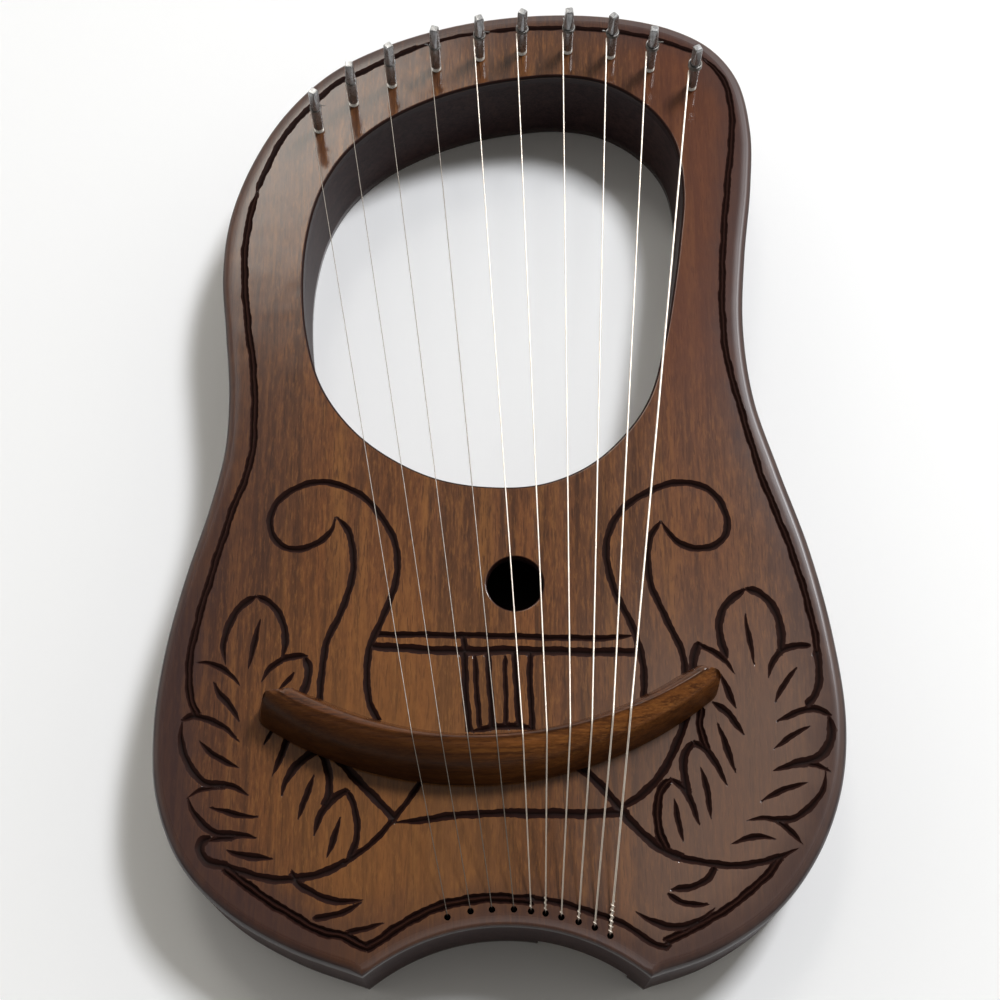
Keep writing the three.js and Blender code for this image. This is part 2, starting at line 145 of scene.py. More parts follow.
LYRE = [
    (2.3, 0.08, 0, [(-66.5, -31.6), (-68, -37), (-71.5, -41.2), (-76, -44.2), (-82, -45.7), (-88, -43.8),
      (-92, -39), (-93.2, -33), (-90.8, -26), (-85.4, -20.4), (-78.5, -17.2), (-71, -16.6), (-64, -18.2),
      (-57, -22), (-50.6, -28.2), (-45.6, -35.6), (-42.2, -43.4), (-41, -51), (-41.8, -59.4),
      (-44.4, -69), (-48, -77.6), (-50.8, -84.5), (-52, -92), (-52.3, -99), (-51.4, -106),
      (-49.8, -111.5), (-47.4, -116)]),
    (2.3, 0.1, 0, [(-66.5, -31.6), (-62.2, -36.4), (-59.6, -43.2), (-58.8, -51), (-59.5, -59.4),
      (-61.4, -67.2), (-65, -76.2), (-68, -83.4), (-69.4, -91), (-70, -99), (-70.2, -110)]),
    (2.4, 0.08, 0, [(65, -33.4), (68.4, -39), (73, -43.2), (79, -45.2), (85.4, -44.4), (90, -40.6),
      (92, -34.6), (90.6, -27.4), (86.8, -21.6), (81.6, -18), (75.6, -16.6), (69.4, -17.2), (62.6, -19.6),
      (55.6, -23.4), (49.6, -28.6), (45.4, -34.6), (43.2, -41.2), (42.8, -48.8), (43.8, -56.6),
      (46.2, -64.2), (49.4, -71.6), (52.6, -78.8), (54.8, -86), (56, -93.4), (56.4, -101), (56, -108)]),
    (2.3, 0.1, 0, [(65, -33.4), (61.6, -38.4), (59.6, -44.8), (59.2, -52.6), (60.4, -60.8), (63.2, -68.8),
      (66.8, -77), (70, -84), (72, -90.8), (72.8, -99)]),
    (2.1, 0, 0.1, [(-47.5, -81.2), (-24, -81.5), (0, -81.9), (22, -82.6), (38, -82.8), (52.5, -82)]),
    (2.9, 0, 0, [(-50, -86), (-33, -87.3), (-17, -88), (0, -87.8), (17, -88), (35, -88.5),
      (53.5, -88.5)]),
    (1.9, 0, 0, [(-14.2, -82.4), (-13.7, -88.4)]),
    (2.3, 0, 0, [(-14.1, -89), (-13.4, -104), (-12, -120)]),
    (1.8, 0.1, 0.05, [(-10, -89.6), (-9, -105), (-8, -119)]),
    (2, 0, 0, [(-4.8, -89), (-3.9, -104), (-2.9, -119)]),
    (1.6, 0.1, 0, [(2, -89.8), (2.2, -104), (2.4, -118.6)]),
    (2.1, 0, 0, [(5.8, -89), (6.5, -104), (7.6, -118.4)]),
    (2, 0, 0, [(12.2, -89), (11.5, -99), (12.3, -110), (12.4, -119.4)]),
    (2.1, 0.3, 0.2, [(-11.4, -120.6), (-5, -119.2), (2, -118.3), (8, -118.4), (13.4, -119.6)]),
    (2.8, 0, 0.05, [(-64, -129.6), (-57.4, -136.4), (-51, -143.2), (-45, -149.4), (-39.6, -154.4)]),
    (2.4, 0.35, 0, [(-40.4, -156), (-31, -155), (-20, -153.5), (-9, -152.5), (4, -152.2)]),
    (3, 0, 0, [(4, -152.2), (17, -152.3), (31, -152.5), (46, -152)]),
    (2.9, 0, 0, [(29, -132.6), (34.6, -137.6), (39.4, -142.8), (43.8, -148), (48, -152.6)]),
    (2.7, 0.1, 0, [(46.6, -149.6), (53, -146), (58.6, -141), (63.2, -134.8), (67, -128), (70, -121),
      (72.2, -114)]),
]
LEFT_SPRAY = [
    (2.6, 0, 0, [(-104.4, -172), (-97.4, -174.6), (-89.6, -176.5), (-81.8, -177.4), (-74, -176.6),
      (-66.5, -174.6), (-58.8, -171.2)]),
    (1.9, 0, 0, [(-58.8, -171.2), (-51.2, -165.8), (-45, -159.8), (-40.2, -154.2), (-35.6, -147.8),
      (-30, -139.6)]),
    (2.2, 0.15, 0.5, [(-123.8, -116.4), (-119.6, -114.6), (-113.6, -115.6), (-106.8, -119),
      (-101, -124.6)]),
    (2.6, 0.35, 0.3, [(-123.6, -116), (-123.2, -124), (-120.8, -131.8), (-116.4, -138), (-111.6, -141),
      (-105.6, -141.4), (-100.6, -142.8), (-96, -145.6)]),
    (1.5, 0.5, 0.1, [(-119.6, -146.6), (-115.6, -143.6), (-111, -142.6), (-105, -142.6)]),
    (2.2, 0.5, 0.5, [(-116.2, -124), (-111.6, -128.8), (-105.8, -132.4), (-100.2, -134.8)]),
    (2.5, 0.4, 0.3, [(-119.4, -146.2), (-117.2, -151.4), (-113.6, -156), (-108.8, -159.4), (-103, -160.4),
      (-97.4, -160.8), (-92.2, -161.8)]),
    (2, 0.5, 0.5, [(-111, -150), (-105, -151.7), (-98, -153.2), (-91.8, -153.6)]),
    (2, 0.3, 0.4, [(-110.4, -162.9), (-105.6, -161.9), (-99, -161.4)]),
    (3, 0.15, 0, [(-109.6, -161.2), (-112.8, -163), (-113.4, -166.4), (-111, -170), (-107.6, -171.6),
      (-103.6, -172.2)]),
    (2.5, 0.5, 0.5, [(-103.6, -166.4), (-98.6, -167.9), (-92, -169), (-85.6, -169.8)]),
    (2.4, 0.1, 0.35, [(-78.4, -173.8), (-76.2, -178.4), (-71, -182), (-65, -184.6), (-58.6, -185.4),
      (-51.6, -185)]),
    (2.1, 0.5, 0.1, [(-51.6, -185.6), (-56.6, -188.6), (-63, -190.6), (-70, -192)]),
    (1.9, 0.6, 0.1, [(-43.4, -193.4), (-49.6, -195.2), (-57, -197)]),
    (2, 0.5, 0.5, [(-119.6, -92.8), (-114.2, -93.2), (-108.8, -95.3), (-104.8, -98.4), (-101.6, -102.4)]),
    (2.4, 0.5, 0.5, [(-112.4, -100.6), (-109.6, -105.4), (-105.2, -110), (-101.2, -116.6)]),
    (2.5, 0.12, 0.5, [(-97, -65.2), (-103, -69.8), (-107.4, -77.4), (-109, -85.6), (-107.6, -94)]),
    (2.4, 0.12, 0.3, [(-97, -65.2), (-91, -68.6), (-86.8, -75), (-84.6, -83.2), (-85.8, -92)]),
    (2, 0.5, 0.5, [(-94.8, -74.6), (-97, -84.6), (-98.6, -95.6)]),
    (2.2, 0.5, 0.2, [(-93.6, -101), (-90.8, -96), (-85.4, -91.6), (-80, -90), (-75.4, -90.2)]),
    (2.7, 0.2, 0.1, [(-77, -90.2), (-75.2, -95.6), (-75.6, -101), (-77.4, -107)]),
    (1.7, 0.5, 0.5, [(-80.8, -96.6), (-83, -100), (-86.4, -103.8)]),
    (1.4, 0.2, 0.6, [(-86.6, -117.6), (-89, -121.6), (-91.2, -126)]),
    (2.3, 0.2, 0.5, [(-79.6, -118), (-82.4, -124.6), (-84.8, -131), (-87.4, -137.8)]),
    (2.7, 0.2, 0.55, [(-69, -127.6), (-73.6, -129.8), (-78.6, -134), (-81.8, -139.4), (-83.6, -145.8)]),
    (2.5, 0.1, 0, [(-70.4, -125.6), (-67, -133), (-65.4, -139.4), (-65.4, -145.4), (-67, -149)]),
    (2.5, 0.12, 0.5, [(-57.8, -143.2), (-62, -145.2), (-66.6, -150), (-69.2, -155.4), (-70.6, -161)]),
    (2.1, 0.5, 0.5, [(-71.6, -137.2), (-73.4, -143.6), (-75.2, -149.4), (-77, -154.8)]),
    (2.1, 0.15, 0, [(-58.8, -143), (-55.8, -149), (-54.3, -156), (-54.6, -162.4), (-56.8, -169.6)]),
    (2, 0.5, 0.5, [(-60.7, -153.6), (-62.9, -161.8), (-65.6, -169.4)]),
]
RIGHT_SPRAY = [
    (3, 0, 0, [(45.6, -150.2), (50, -156), (55, -161.2), (61, -165.8), (68, -169)]),
    (2.3, 0, 0.3, [(68, -169), (76, -170.8), (84, -171.8), (91.6, -171.9), (99, -170.8), (105.6, -168.6),
      (113, -165.6)]),
    (2.5, 0, 0.05, [(124.9, -88.6), (125, -96), (124.4, -102.6), (122.2, -107), (119, -110)]),
    (2.3, 0.1, 0.45, [(122.6, -85.6), (117.4, -85.8), (112.6, -87), (109, -90), (106.6, -93.6),
      (104.8, -99)]),
    (2.6, 0.1, 0.12, [(89.6, -91), (87, -83.6), (86.8, -76.4), (90, -68.8), (97.6, -62.2)]),
    (2.8, 0.12, 0.1, [(97.6, -62.2), (103.4, -64), (107.8, -68.8), (110.4, -75.6), (111.2, -82.4),
      (110.4, -88.6)]),
    (1.8, 0.5, 0.5, [(97.2, -72.4), (98.2, -81.6), (99.9, -93.8)]),
    (2, 0.1, 0.5, [(78.8, -85.4), (84, -88.4), (88.6, -92.4), (92, -97.2)]),
    (2.9, 0.2, 0, [(78.6, -84.2), (76.4, -89.4), (75.4, -96)]),
    (1.9, 0.5, 0.5, [(116.4, -94.4), (111.6, -100.8), (107, -109)]),
    (2.3, 0.5, 0.5, [(86.2, -97.4), (88.6, -103.2), (91.8, -111.4)]),
    (2.3, 0.15, 0.45, [(129, -114.2), (124, -111.8), (118.4, -111.9), (113, -113.8), (107, -116.6)]),
    (3.1, 0.2, 0.4, [(127.6, -114), (128.6, -119.6), (126.8, -125.8), (122.8, -130.4), (118, -132.4),
      (112.6, -133.4), (104.8, -135.8)]),
    (1.9, 0.5, 0.5, [(120.4, -118.4), (113, -122), (105.6, -127.4)]),
    (1.7, 0.5, 0.3, [(127, -136.4), (122.4, -133.8), (117.4, -133)]),
    (2.3, 0.4, 0.4, [(125, -135.8), (124, -142), (120.6, -147.6), (115.4, -152.2), (110.6, -154.4),
      (104.8, -154.6), (99.4, -154.2), (94, -155)]),
    (2, 0.5, 0.5, [(118, -140.2), (109.8, -142.8), (99.4, -147.6)]),
    (2.1, 0.4, 0.5, [(103, -154.2), (108.4, -157.2), (111.6, -160.4), (114.4, -164)]),
    (2, 0.5, 0.5, [(104.6, -161.9), (96, -161.3), (87.4, -163.8)]),
    (2.2, 0.1, 0.2, [(81.4, -172.2), (78.6, -176.6), (73, -179.6), (64, -181.2)]),
    (2, 0.2, 0.5, [(62.8, -182.2), (67, -185.4), (72, -186.6), (78.6, -186.4)]),
    (2.5, 0.4, 0.5, [(50.6, -189.3), (56.2, -192.6), (63, -194.6), (70, -194.2), (75.6, -191.8),
      (80.4, -187.8)]),
    (2.3, 0.12, 0.5, [(65.8, -139.2), (70.2, -142.8), (73.2, -148.2), (75.6, -157)]),
    (2, 0.5, 0.5, [(66.4, -146.4), (67.7, -154.2), (69.4, -163.2)]),
    (2.7, 0, 0.15, [(71.6, -144), (70.6, -137.6), (70.8, -130.8), (74.6, -124.2)]),
    (2.3, 0.12, 0.5, [(74.4, -124.2), (79.4, -127.6), (83.2, -133.6), (87, -141.6)]),
    (2.1, 0.5, 0.5, [(77.2, -134), (78.9, -142), (80.4, -154.4)]),
    (2.5, 0.3, 0.5, [(82.6, -108.6), (87.8, -112.6), (91.4, -117.2), (94.6, -121.8)]),
    (2.2, 0.5, 0.5, [(84.2, -117.2), (87, -125.2), (90.5, -136.8)]),
]
DOUBLE_LEAVES = [
    (2.8, 0, 0.15, [(63, -165.6), (60.8, -160.2), (59.8, -154), (60.2, -148), (62.2, -142.6),
      (66, -139)]),
    (2.5, 0.1, 0.1, [(78.4, -110.4), (77.4, -117), (78.6, -123), (80.2, -128.2)]),
]


# ---- Curves and outlines ----
def resample(points, spacing, closed=False):
    """The same line, with its points evenly spread and about spacing apart."""
    if closed:
        points = np.vstack([points, points[:1]])
    along = np.concatenate([[0], np.cumsum(np.linalg.norm(np.diff(points, axis=0), axis=1))])
    count = max(int(round(along[-1] / spacing)), 2)
    wanted = np.linspace(0, along[-1], count + 1)
    spread = np.column_stack([np.interp(wanted, along, points[:, i]) for i in range(points.shape[1])])
    return spread[:-1] if closed else spread


def smooth(points, spacing, closed=False):
    """A centripetal Catmull-Rom curve through the points."""
    p = np.array(points, float)
    if closed:
        p = np.vstack([p[-1], p, p[0], p[1]])
    else:
        p = np.vstack([2 * p[0] - p[1], p, 2 * p[-1] - p[-2]])
    t = np.linspace(0, 1, 24, endpoint=False)[:, None]
    stretches = []
    for p0, p1, p2, p3 in zip(p, p[1:], p[2:], p[3:]):
        d0, d1, d2 = (math.sqrt(np.linalg.norm(b - a)) for a, b in ((p0, p1), (p1, p2), (p2, p3)))
        out = ((p1 - p0) / d0 - (p2 - p0) / (d0 + d1) + (p2 - p1) / d1) * d1
        into = ((p2 - p1) / d1 - (p3 - p1) / (d1 + d2) + (p3 - p2) / d2) * d1
        stretches.append(
            (2 * t**3 - 3 * t**2 + 1) * p1 + (t**3 - 2 * t**2 + t) * out
            + (3 * t**2 - 2 * t**3) * p2 + (t**3 - t**2) * into
        )
    if not closed:
        stretches.append(p[-2:-1])
    return resample(np.vstack(stretches), spacing, closed)


def circle(x, y, radius, count):
    """A clockwise circle, as the edge of a hole."""
    a = -2 * math.pi * np.arange(count) / count
    return np.column_stack([x + radius * np.cos(a), y + radius * np.sin(a)])


def tail_arc_circle():
    half = (TIP_RIGHT[0] - TIP_LEFT[0]) / 2
    radius = (half**2 + ARC_RISE**2) / (2 * ARC_RISE)
    return TIP_LEFT[0] + half, TIP_LEFT[1] + ARC_RISE - radius, radius


TAIL_X, TAIL_Y, TAIL_RADIUS = tail_arc_circle()


def tail_arc(spacing):
    """The bottom arc, from the left tip to the right one, without the tips."""
    spread = math.asin((TIP_RIGHT[0] - TAIL_X) / TAIL_RADIUS)
    count = int(round(2 * spread * TAIL_RADIUS / spacing))
    a = np.linspace(-spread, spread, count + 1)[1:-1]
    return np.column_stack([TAIL_X + TAIL_RADIUS * np.sin(a), TAIL_Y + TAIL_RADIUS * np.cos(a)])


def moved_inwards(loop, distance):
    """The loop moved to its left by a distance, which may differ from point to point."""
    ahead = np.roll(loop, -1, 0) - loop
    ahead /= np.linalg.norm(ahead, axis=1)[:, None]
    behind = np.roll(ahead, 1, 0)
    left = np.column_stack([-(ahead + behind)[:, 1], (ahead + behind)[:, 0]])
    left /= np.linalg.norm(left, axis=1)[:, None]
    half_turn = np.clip((left * np.column_stack([-ahead[:, 1], ahead[:, 0]])).sum(1), 0.6, 1)
    return loop + left * (np.asarray(distance) / half_turn)[:, None]


SPACING = 1.3
arc = tail_arc(SPACING)
outer = np.vstack([smooth(OUTER, SPACING), arc])
opening = smooth(OPENING, SPACING, True)[::-1]
chamber = smooth(CHAMBER, 2.5, True)[::-1]


# ---- Meshes ----
def keep_flat(mesh, height):
    """Marks the edges between faces lying at the height and faces that leave it, to keep the flat flat."""
    at_height_ = [abs(v.co.z - height * MM) < 1e-6 for v in mesh.vertices]
    flat_sides = {}
    for polygon in mesh.polygons:
        flat = all(at_height_[i] for i in polygon.vertices)
        for key in polygon.edge_keys:
            flat_sides.setdefault(key, []).append(flat)
    sharp = mesh.attributes["sharp_edge"] if "sharp_edge" in mesh.attributes else None
    if sharp is None:
        sharp = mesh.attributes.new("sharp_edge", "BOOLEAN", "EDGE")
    for i, edge in enumerate(mesh.edges):
        sides = flat_sides.get(edge.key, [])
        if len(sides) == 2 and sides[0] != sides[1]:
            sharp.data[i].value = True


def mesh_piece(name, verts, faces, material, crease=38, flat_at=None):
    """An object from points in millimetres, smooth where its faces meet at less than the crease angle."""
    verts = np.asarray(verts, float)
    used = np.unique(np.concatenate([np.ravel(f) for f in faces]))
    place = np.full(len(verts), -1)
    place[used] = np.arange(len(used))
    mesh = bpy.data.meshes.new(name)
    mesh.from_pydata((verts[used] * MM).tolist(), [], [[int(place[i]) for i in f] for f in faces])
    made = bmesh.new()
    made.from_mesh(mesh)
    bmesh.ops.remove_doubles(made, verts=made.verts, dist=1e-6)
    made.to_mesh(mesh)
    made.free()
    mesh.polygons.foreach_set("use_smooth", [True] * len(mesh.polygons))
    mesh.set_sharp_from_angle(angle=math.radians(crease))
    if flat_at is not None:
        keep_flat(mesh, flat_at)
    mesh.materials.append(material)
    piece = bpy.data.objects.new(name, mesh)
    bpy.context.scene.collection.objects.link(piece)
    return piece


def finish_piece(piece, body, slot, *nodes):
    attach(piece, body)
    if nodes:
        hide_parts(*nodes)
    return piece


def inside(points, loop):
    """Which of the points lie inside the closed loop."""
    x0, y0 = loop.T
    x1, y1 = np.roll(loop, -1, 0).T
    slope = (x1 - x0) / np.where(y1 == y0, 1e-9, y1 - y0)
    found = []
    for part in np.array_split(points, max(len(points) // 8000, 1)):
        x, y = part[:, :1], part[:, 1:]
        crosses = ((y0 > y) != (y1 > y)) & (x < x0 + slope * (y - y0))
        found.append(crosses.sum(1) % 2 == 1)
    return np.concatenate(found)


def triangulate(loops, lines=(), loose=()):
    """Triangles over a plan whose loops and lines are all edges of them."""
    points, edges = [], []
    for line, closed in [(loop, True) for loop in loops] + [(line, False) for line in lines]:
        first = len(points)
        points.extend(line)
        last = len(line) if closed else len(line) - 1
        edges.extend((first + i, first + (i + 1) % len(line)) for i in range(last))
    points.extend(loose)
    made = delaunay_2d_cdt([Vector((float(x), float(y))) for x, y in points], edges, [], 0, 1e-5)
    verts = np.array([tuple(v) for v in made[0]])
    tris = np.array(made[2])
    return verts, tris, verts[tris].mean(axis=1)


def plate(loops, lines=(), loose=(), gaps=()):
    """Points and triangles inside the first loop, and outside the others and the gaps."""
    verts, tris, middles = triangulate(loops, lines, loose)
    kept = inside(middles, loops[0])
    for loop in [*loops[1:], *gaps]:
        kept &= ~inside(middles, loop)
    return verts, tris[kept]


def ring_faces(rings, count, closed=False):
    """The faces between rings that follow each other and hold count points each."""
    faces = []
    for k in range(rings if closed else rings - 1):
        a, b = k * count, (k + 1) % rings * count
        for i in range(count):
            j = (i + 1) % count
            faces.append((a + i, a + j, b + j, b + i))
    return faces


def end_caps(rings, count):
    """The faces over the first ring and the last one."""
    last = (rings - 1) * count
    return [tuple(range(count))[::-1], tuple(last + i for i in range(count))]


def skirt(rings):
    """Points and faces between loops of equal count, from the highest to the lowest."""
    return np.vstack(rings), [face[::-1] for face in ring_faces(len(rings), len(rings[0]))]


def at_height(loop, z):
    return np.column_stack([loop, np.broadcast_to(z, len(loop))])


def gathered(parts):
    """Joins (points, faces) parts into one."""
    verts, faces, first = [], [], 0
    for points, polygons in parts:
        verts.append(points)
        faces.extend(tuple(int(i) + first for i in polygon) for polygon in polygons)
        first += len(points)
    return np.vstack(verts), faces


def layered(verts, tris, layers):
    """A solid of flat layers, each given as its bottom, its top and which triangles it holds."""
    heights = [layers[0][0]] + [top for _, top, _ in layers]
    nothing = np.zeros(len(tris), bool)
    masks = [nothing] + [mask for _, _, mask in layers] + [nothing]
    count = len(verts)
    points = np.vstack([at_height(verts, z) for z in heights])
    faces = []
    for level in range(len(heights)):
        below, above = masks[level], masks[level + 1]
        faces.extend(map(tuple, tris[below & ~above] + level * count))
        faces.extend(map(tuple, tris[above & ~below][:, ::-1] + level * count))
    for level, (_, _, mask) in enumerate(layers):
        kept = tris[mask]
        ways = {(a, b) for tri in kept.tolist() for a, b in zip(tri, tri[1:] + tri[:1])}
        low, high = level * count, (level + 1) * count
        faces.extend((low + a, low + b, high + b, high + a) for a, b in ways if (b, a) not in ways)
    return points, faces


# A direction that no path starts along, to set a tube's first side from.
UNLIKE_ANY_PATH = (0.3, 0.2, 0.93)


def tube(path, radius, sides=10, closed=False):
    """A round tube along a path."""
    path = np.asarray(path, float)
    if closed:
        ahead = np.roll(path, -1, 0) - np.roll(path, 1, 0)
    else:
        ahead = np.gradient(path, axis=0)
    ahead /= np.linalg.norm(ahead, axis=1)[:, None]
    side = np.cross(ahead[0], UNLIKE_ANY_PATH)
    side /= np.linalg.norm(side)
    points = []
    for place, way in zip(path, ahead):
        side = side - way * side.dot(way)
        side /= np.linalg.norm(side)
        up = np.cross(way, side)
        for k in range(sides):
            a = 2 * math.pi * k / sides
            points.append(place + radius * (math.cos(a) * side + math.sin(a) * up))
    faces = ring_faces(len(path), sides, closed)
    return np.array(points), faces if closed else faces + end_caps(len(path), sides)


def rounded_path(points, radii, steps=5):
    """Straight stretches with each inner corner turned into an arc-like bend of the radius given."""
    points = [np.array(p, float) for p in points]
    path = [points[0]]
    for before, corner, after, radius in zip(points, points[1:], points[2:], radii):
        back = (before - corner) / np.linalg.norm(before - corner)
        on = (after - corner) / np.linalg.norm(after - corner)
        for t in np.linspace(0, 1, steps):
            path.append(corner + radius * ((1 - t) ** 2 * back + t**2 * on))
    path.append(points[-1])
    return np.array(path)


# ---- Shader building ----
class Finish:
    """One material, and the few node kinds that the finishes below are made of."""

    def __init__(self, name, **values):
        self.material = bpy.data.materials.new(name)
        self.material.use_nodes = True
        self.tree = self.material.node_tree
        self.shader = self.tree.nodes["Principled BSDF"]
        for socket, value in values.items():
            self.shader.inputs[socket.replace("_", " ")].default_value = value

    def add(self, kind, **settings):
        made = self.tree.nodes.new("ShaderNode" + kind)
        for key, value in settings.items():
            setattr(made, key, value)
        return made

    def put(self, value, socket):
        if isinstance(value, bpy.types.NodeSocket):
            self.tree.links.new(value, socket)
        elif value is not None:
            socket.default_value = value

    def place(self, scale=(1, 1, 1), turn=(0, 0, 0)):
        """The object's own coordinates, in metres, stretched by scale."""
        where = self.add("TexCoord")
        mapping = self.add("Mapping")
        mapping.inputs["Rotation"].default_value = [math.radians(a) for a in turn]
        mapping.inputs["Scale"].default_value = scale
        self.tree.links.new(where.outputs["Object"], mapping.inputs["Vector"])
        return mapping.outputs["Vector"]

    def noise(self, where, scale, detail=3.0, rough=0.5, bend=0.0):
        made = self.add("TexNoise")
        for socket, value in (("Vector", where), ("Scale", scale), ("Detail", detail),
                              ("Roughness", rough), ("Distortion", bend)):
            self.put(value, made.inputs[socket])
        return made.outputs["Fac"]

    def fit(self, value, low, high, to_low=0.0, to_high=1.0):
        made = self.add("MapRange", interpolation_type="SMOOTHSTEP")
        for i, item in enumerate((value, low, high, to_low, to_high)):
            self.put(item, made.inputs[i])
        return made.outputs["Result"]

    def math(self, operation, a, b=None):
        made = self.add("Math", operation=operation)
        self.put(a, made.inputs[0])
        self.put(b, made.inputs[1])
        return made.outputs["Value"]

    def times(self, a, b):
        return self.math("MULTIPLY", a, b)

    def attribute(self, name):
        """A number that the mesh carries at each point."""
        return self.add("Attribute", attribute_name=name).outputs["Fac"]

    def place_mm(self):
        """The object's own X, Y and Z in millimetres."""
        return self.split(self.place((1 / MM, 1 / MM, 1 / MM)))[:3]

    def mix(self, share, a, b, blend="MIX"):
        made = self.add("Mix", data_type="RGBA", blend_type=blend)
        self.put(share, made.inputs["Factor"])
        for socket, value in ((made.inputs[6], a), (made.inputs[7], b)):
            self.put((*value, 1) if isinstance(value, tuple) else value, socket)
        return made.outputs[2]

    def bump(self, height, distance, strength=1.0, under=None):
        made = self.add("Bump")
        made.inputs["Strength"].default_value = strength
        made.inputs["Distance"].default_value = distance
        self.put(height, made.inputs["Height"])
        if under is not None:
            self.put(under, made.inputs["Normal"])
        return made.outputs["Normal"]

    def split(self, vector):
        made = self.add("SeparateXYZ")
        self.put(vector, made.inputs[0])
        return made.outputs

    def use(self, socket, value):
        self.put(value, self.shader.inputs[socket])


def grain(finish, tones, stretch, bands=24.0, streaks=260.0, pores=1300.0, pore_depth=0.55):
    """Straight-grained hardwood: broad bands, fine streaks and short dark pores.

    The tones are the pale and the warm wood of the bands, and the dark and golden streaks in them.
    Returns the colour and where the pores are."""
    pale, warm, deep, gold = tones
    broad = finish.noise(finish.place(stretch(0.06)), bands, 4.0, 0.6, 0.25)
    streak = finish.noise(finish.place(stretch(0.025)), streaks, 5.0, 0.65, 0.15)
    light = finish.noise(finish.place(stretch(0.04)), 0.62 * streaks, 4.0, 0.6, 0.1)
    cloud = finish.noise(finish.place(stretch(0.3)), 22.0, 3.0, 0.6)
    pore = finish.noise(finish.place(stretch(0.09)), pores, 2.0, 0.5)
    holes = finish.fit(pore, 0.33, 0.43, 1.0, 0.0)
    colour = finish.mix(finish.fit(broad, 0.36, 0.64), pale, warm)
    colour = finish.mix(finish.fit(streak, 0.4, 0.66, 0.0, 0.72), colour, deep)
    colour = finish.mix(finish.fit(light, 0.52, 0.74, 0.0, 0.7), colour, gold)
    colour = finish.mix(finish.fit(cloud, 0.4, 0.72, 0.0, 0.35), colour, deep)
    mottle = finish.noise(finish.place(stretch(0.16)), 3.4 * streaks, 3.0, 0.7)
    colour = finish.mix(finish.fit(mottle, 0.5, 0.68, 0.0, 0.4), colour, deep)
    colour = finish.mix(finish.fit(mottle, 0.5, 0.34, 0.0, 0.4), colour, gold)
    colour = finish.mix(finish.times(holes, pore_depth), colour, deep)
    return colour, holes


def upright(scale):
    """Grain that runs along Y."""
    return (1, scale, 1)


def sideways(scale):
    """Grain that runs along X."""
    return (scale, 1, 1)


# The four tones of each wood, as grain() takes them.
FACE_TONES = (0.128, 0.05, 0.0195), (0.17, 0.059, 0.0165), (0.037, 0.013, 0.006), (0.255, 0.102, 0.027)
BODY_TONES = (0.034, 0.0175, 0.0185), (0.046, 0.023, 0.0215), (0.015, 0.008, 0.0088), (0.06, 0.031, 0.027)
BACK_TONES = (0.085, 0.036, 0.018), (0.12, 0.046, 0.017), (0.03, 0.012, 0.007), (0.17, 0.075, 0.027)
BRIDGE_TONES = (0.2, 0.07, 0.018), (0.25, 0.085, 0.02), (0.06, 0.02, 0.007), (0.36, 0.14, 0.034)
SPRUCE_TONES = (0.5, 0.33, 0.17), (0.58, 0.4, 0.21), (0.3, 0.16, 0.07), (0.66, 0.48, 0.28)
STAIN = (0.024, 0.0125, 0.0132)
CARVED = (0.02, 0.0062, 0.0042)
# Painted shade for the bottoms of the carved grooves, darker than the stain in them.
CARVED_BOTTOM_SHADE = (0.009, 0.0032, 0.0025)
EDGE_SHADE = (0.036, 0.017, 0.0165)


def lacquered(name, coat, coat_roughness):
    return Finish(
        name, Roughness=0.5, Specular_IOR_Level=0.05, Coat_Weight=coat,
        Coat_Roughness=coat_roughness, Coat_IOR=1.5,
    )


def worn(finish, holes, waves, strength, pore_depth=0.06):
    """Faint dents from sanding by hand, and open pores."""
    normal = finish.bump(finish.noise(finish.place(), waves, 2.0), 0.6 * MM, strength)
    finish.use("Normal", finish.bump(holes, -pore_depth * MM, 0.5, normal))


def uneven_rim(finish):
    """The distance from the edge in millimetres, the noise that the stain wanders by, and their sum."""
    rim = finish.attribute("rim")
    uneven = finish.noise(finish.place(), 60.0, 3.0)
    return rim, uneven, finish.math("ADD", rim, finish.fit(uneven, 0.3, 0.7, -2.5, 2.5))


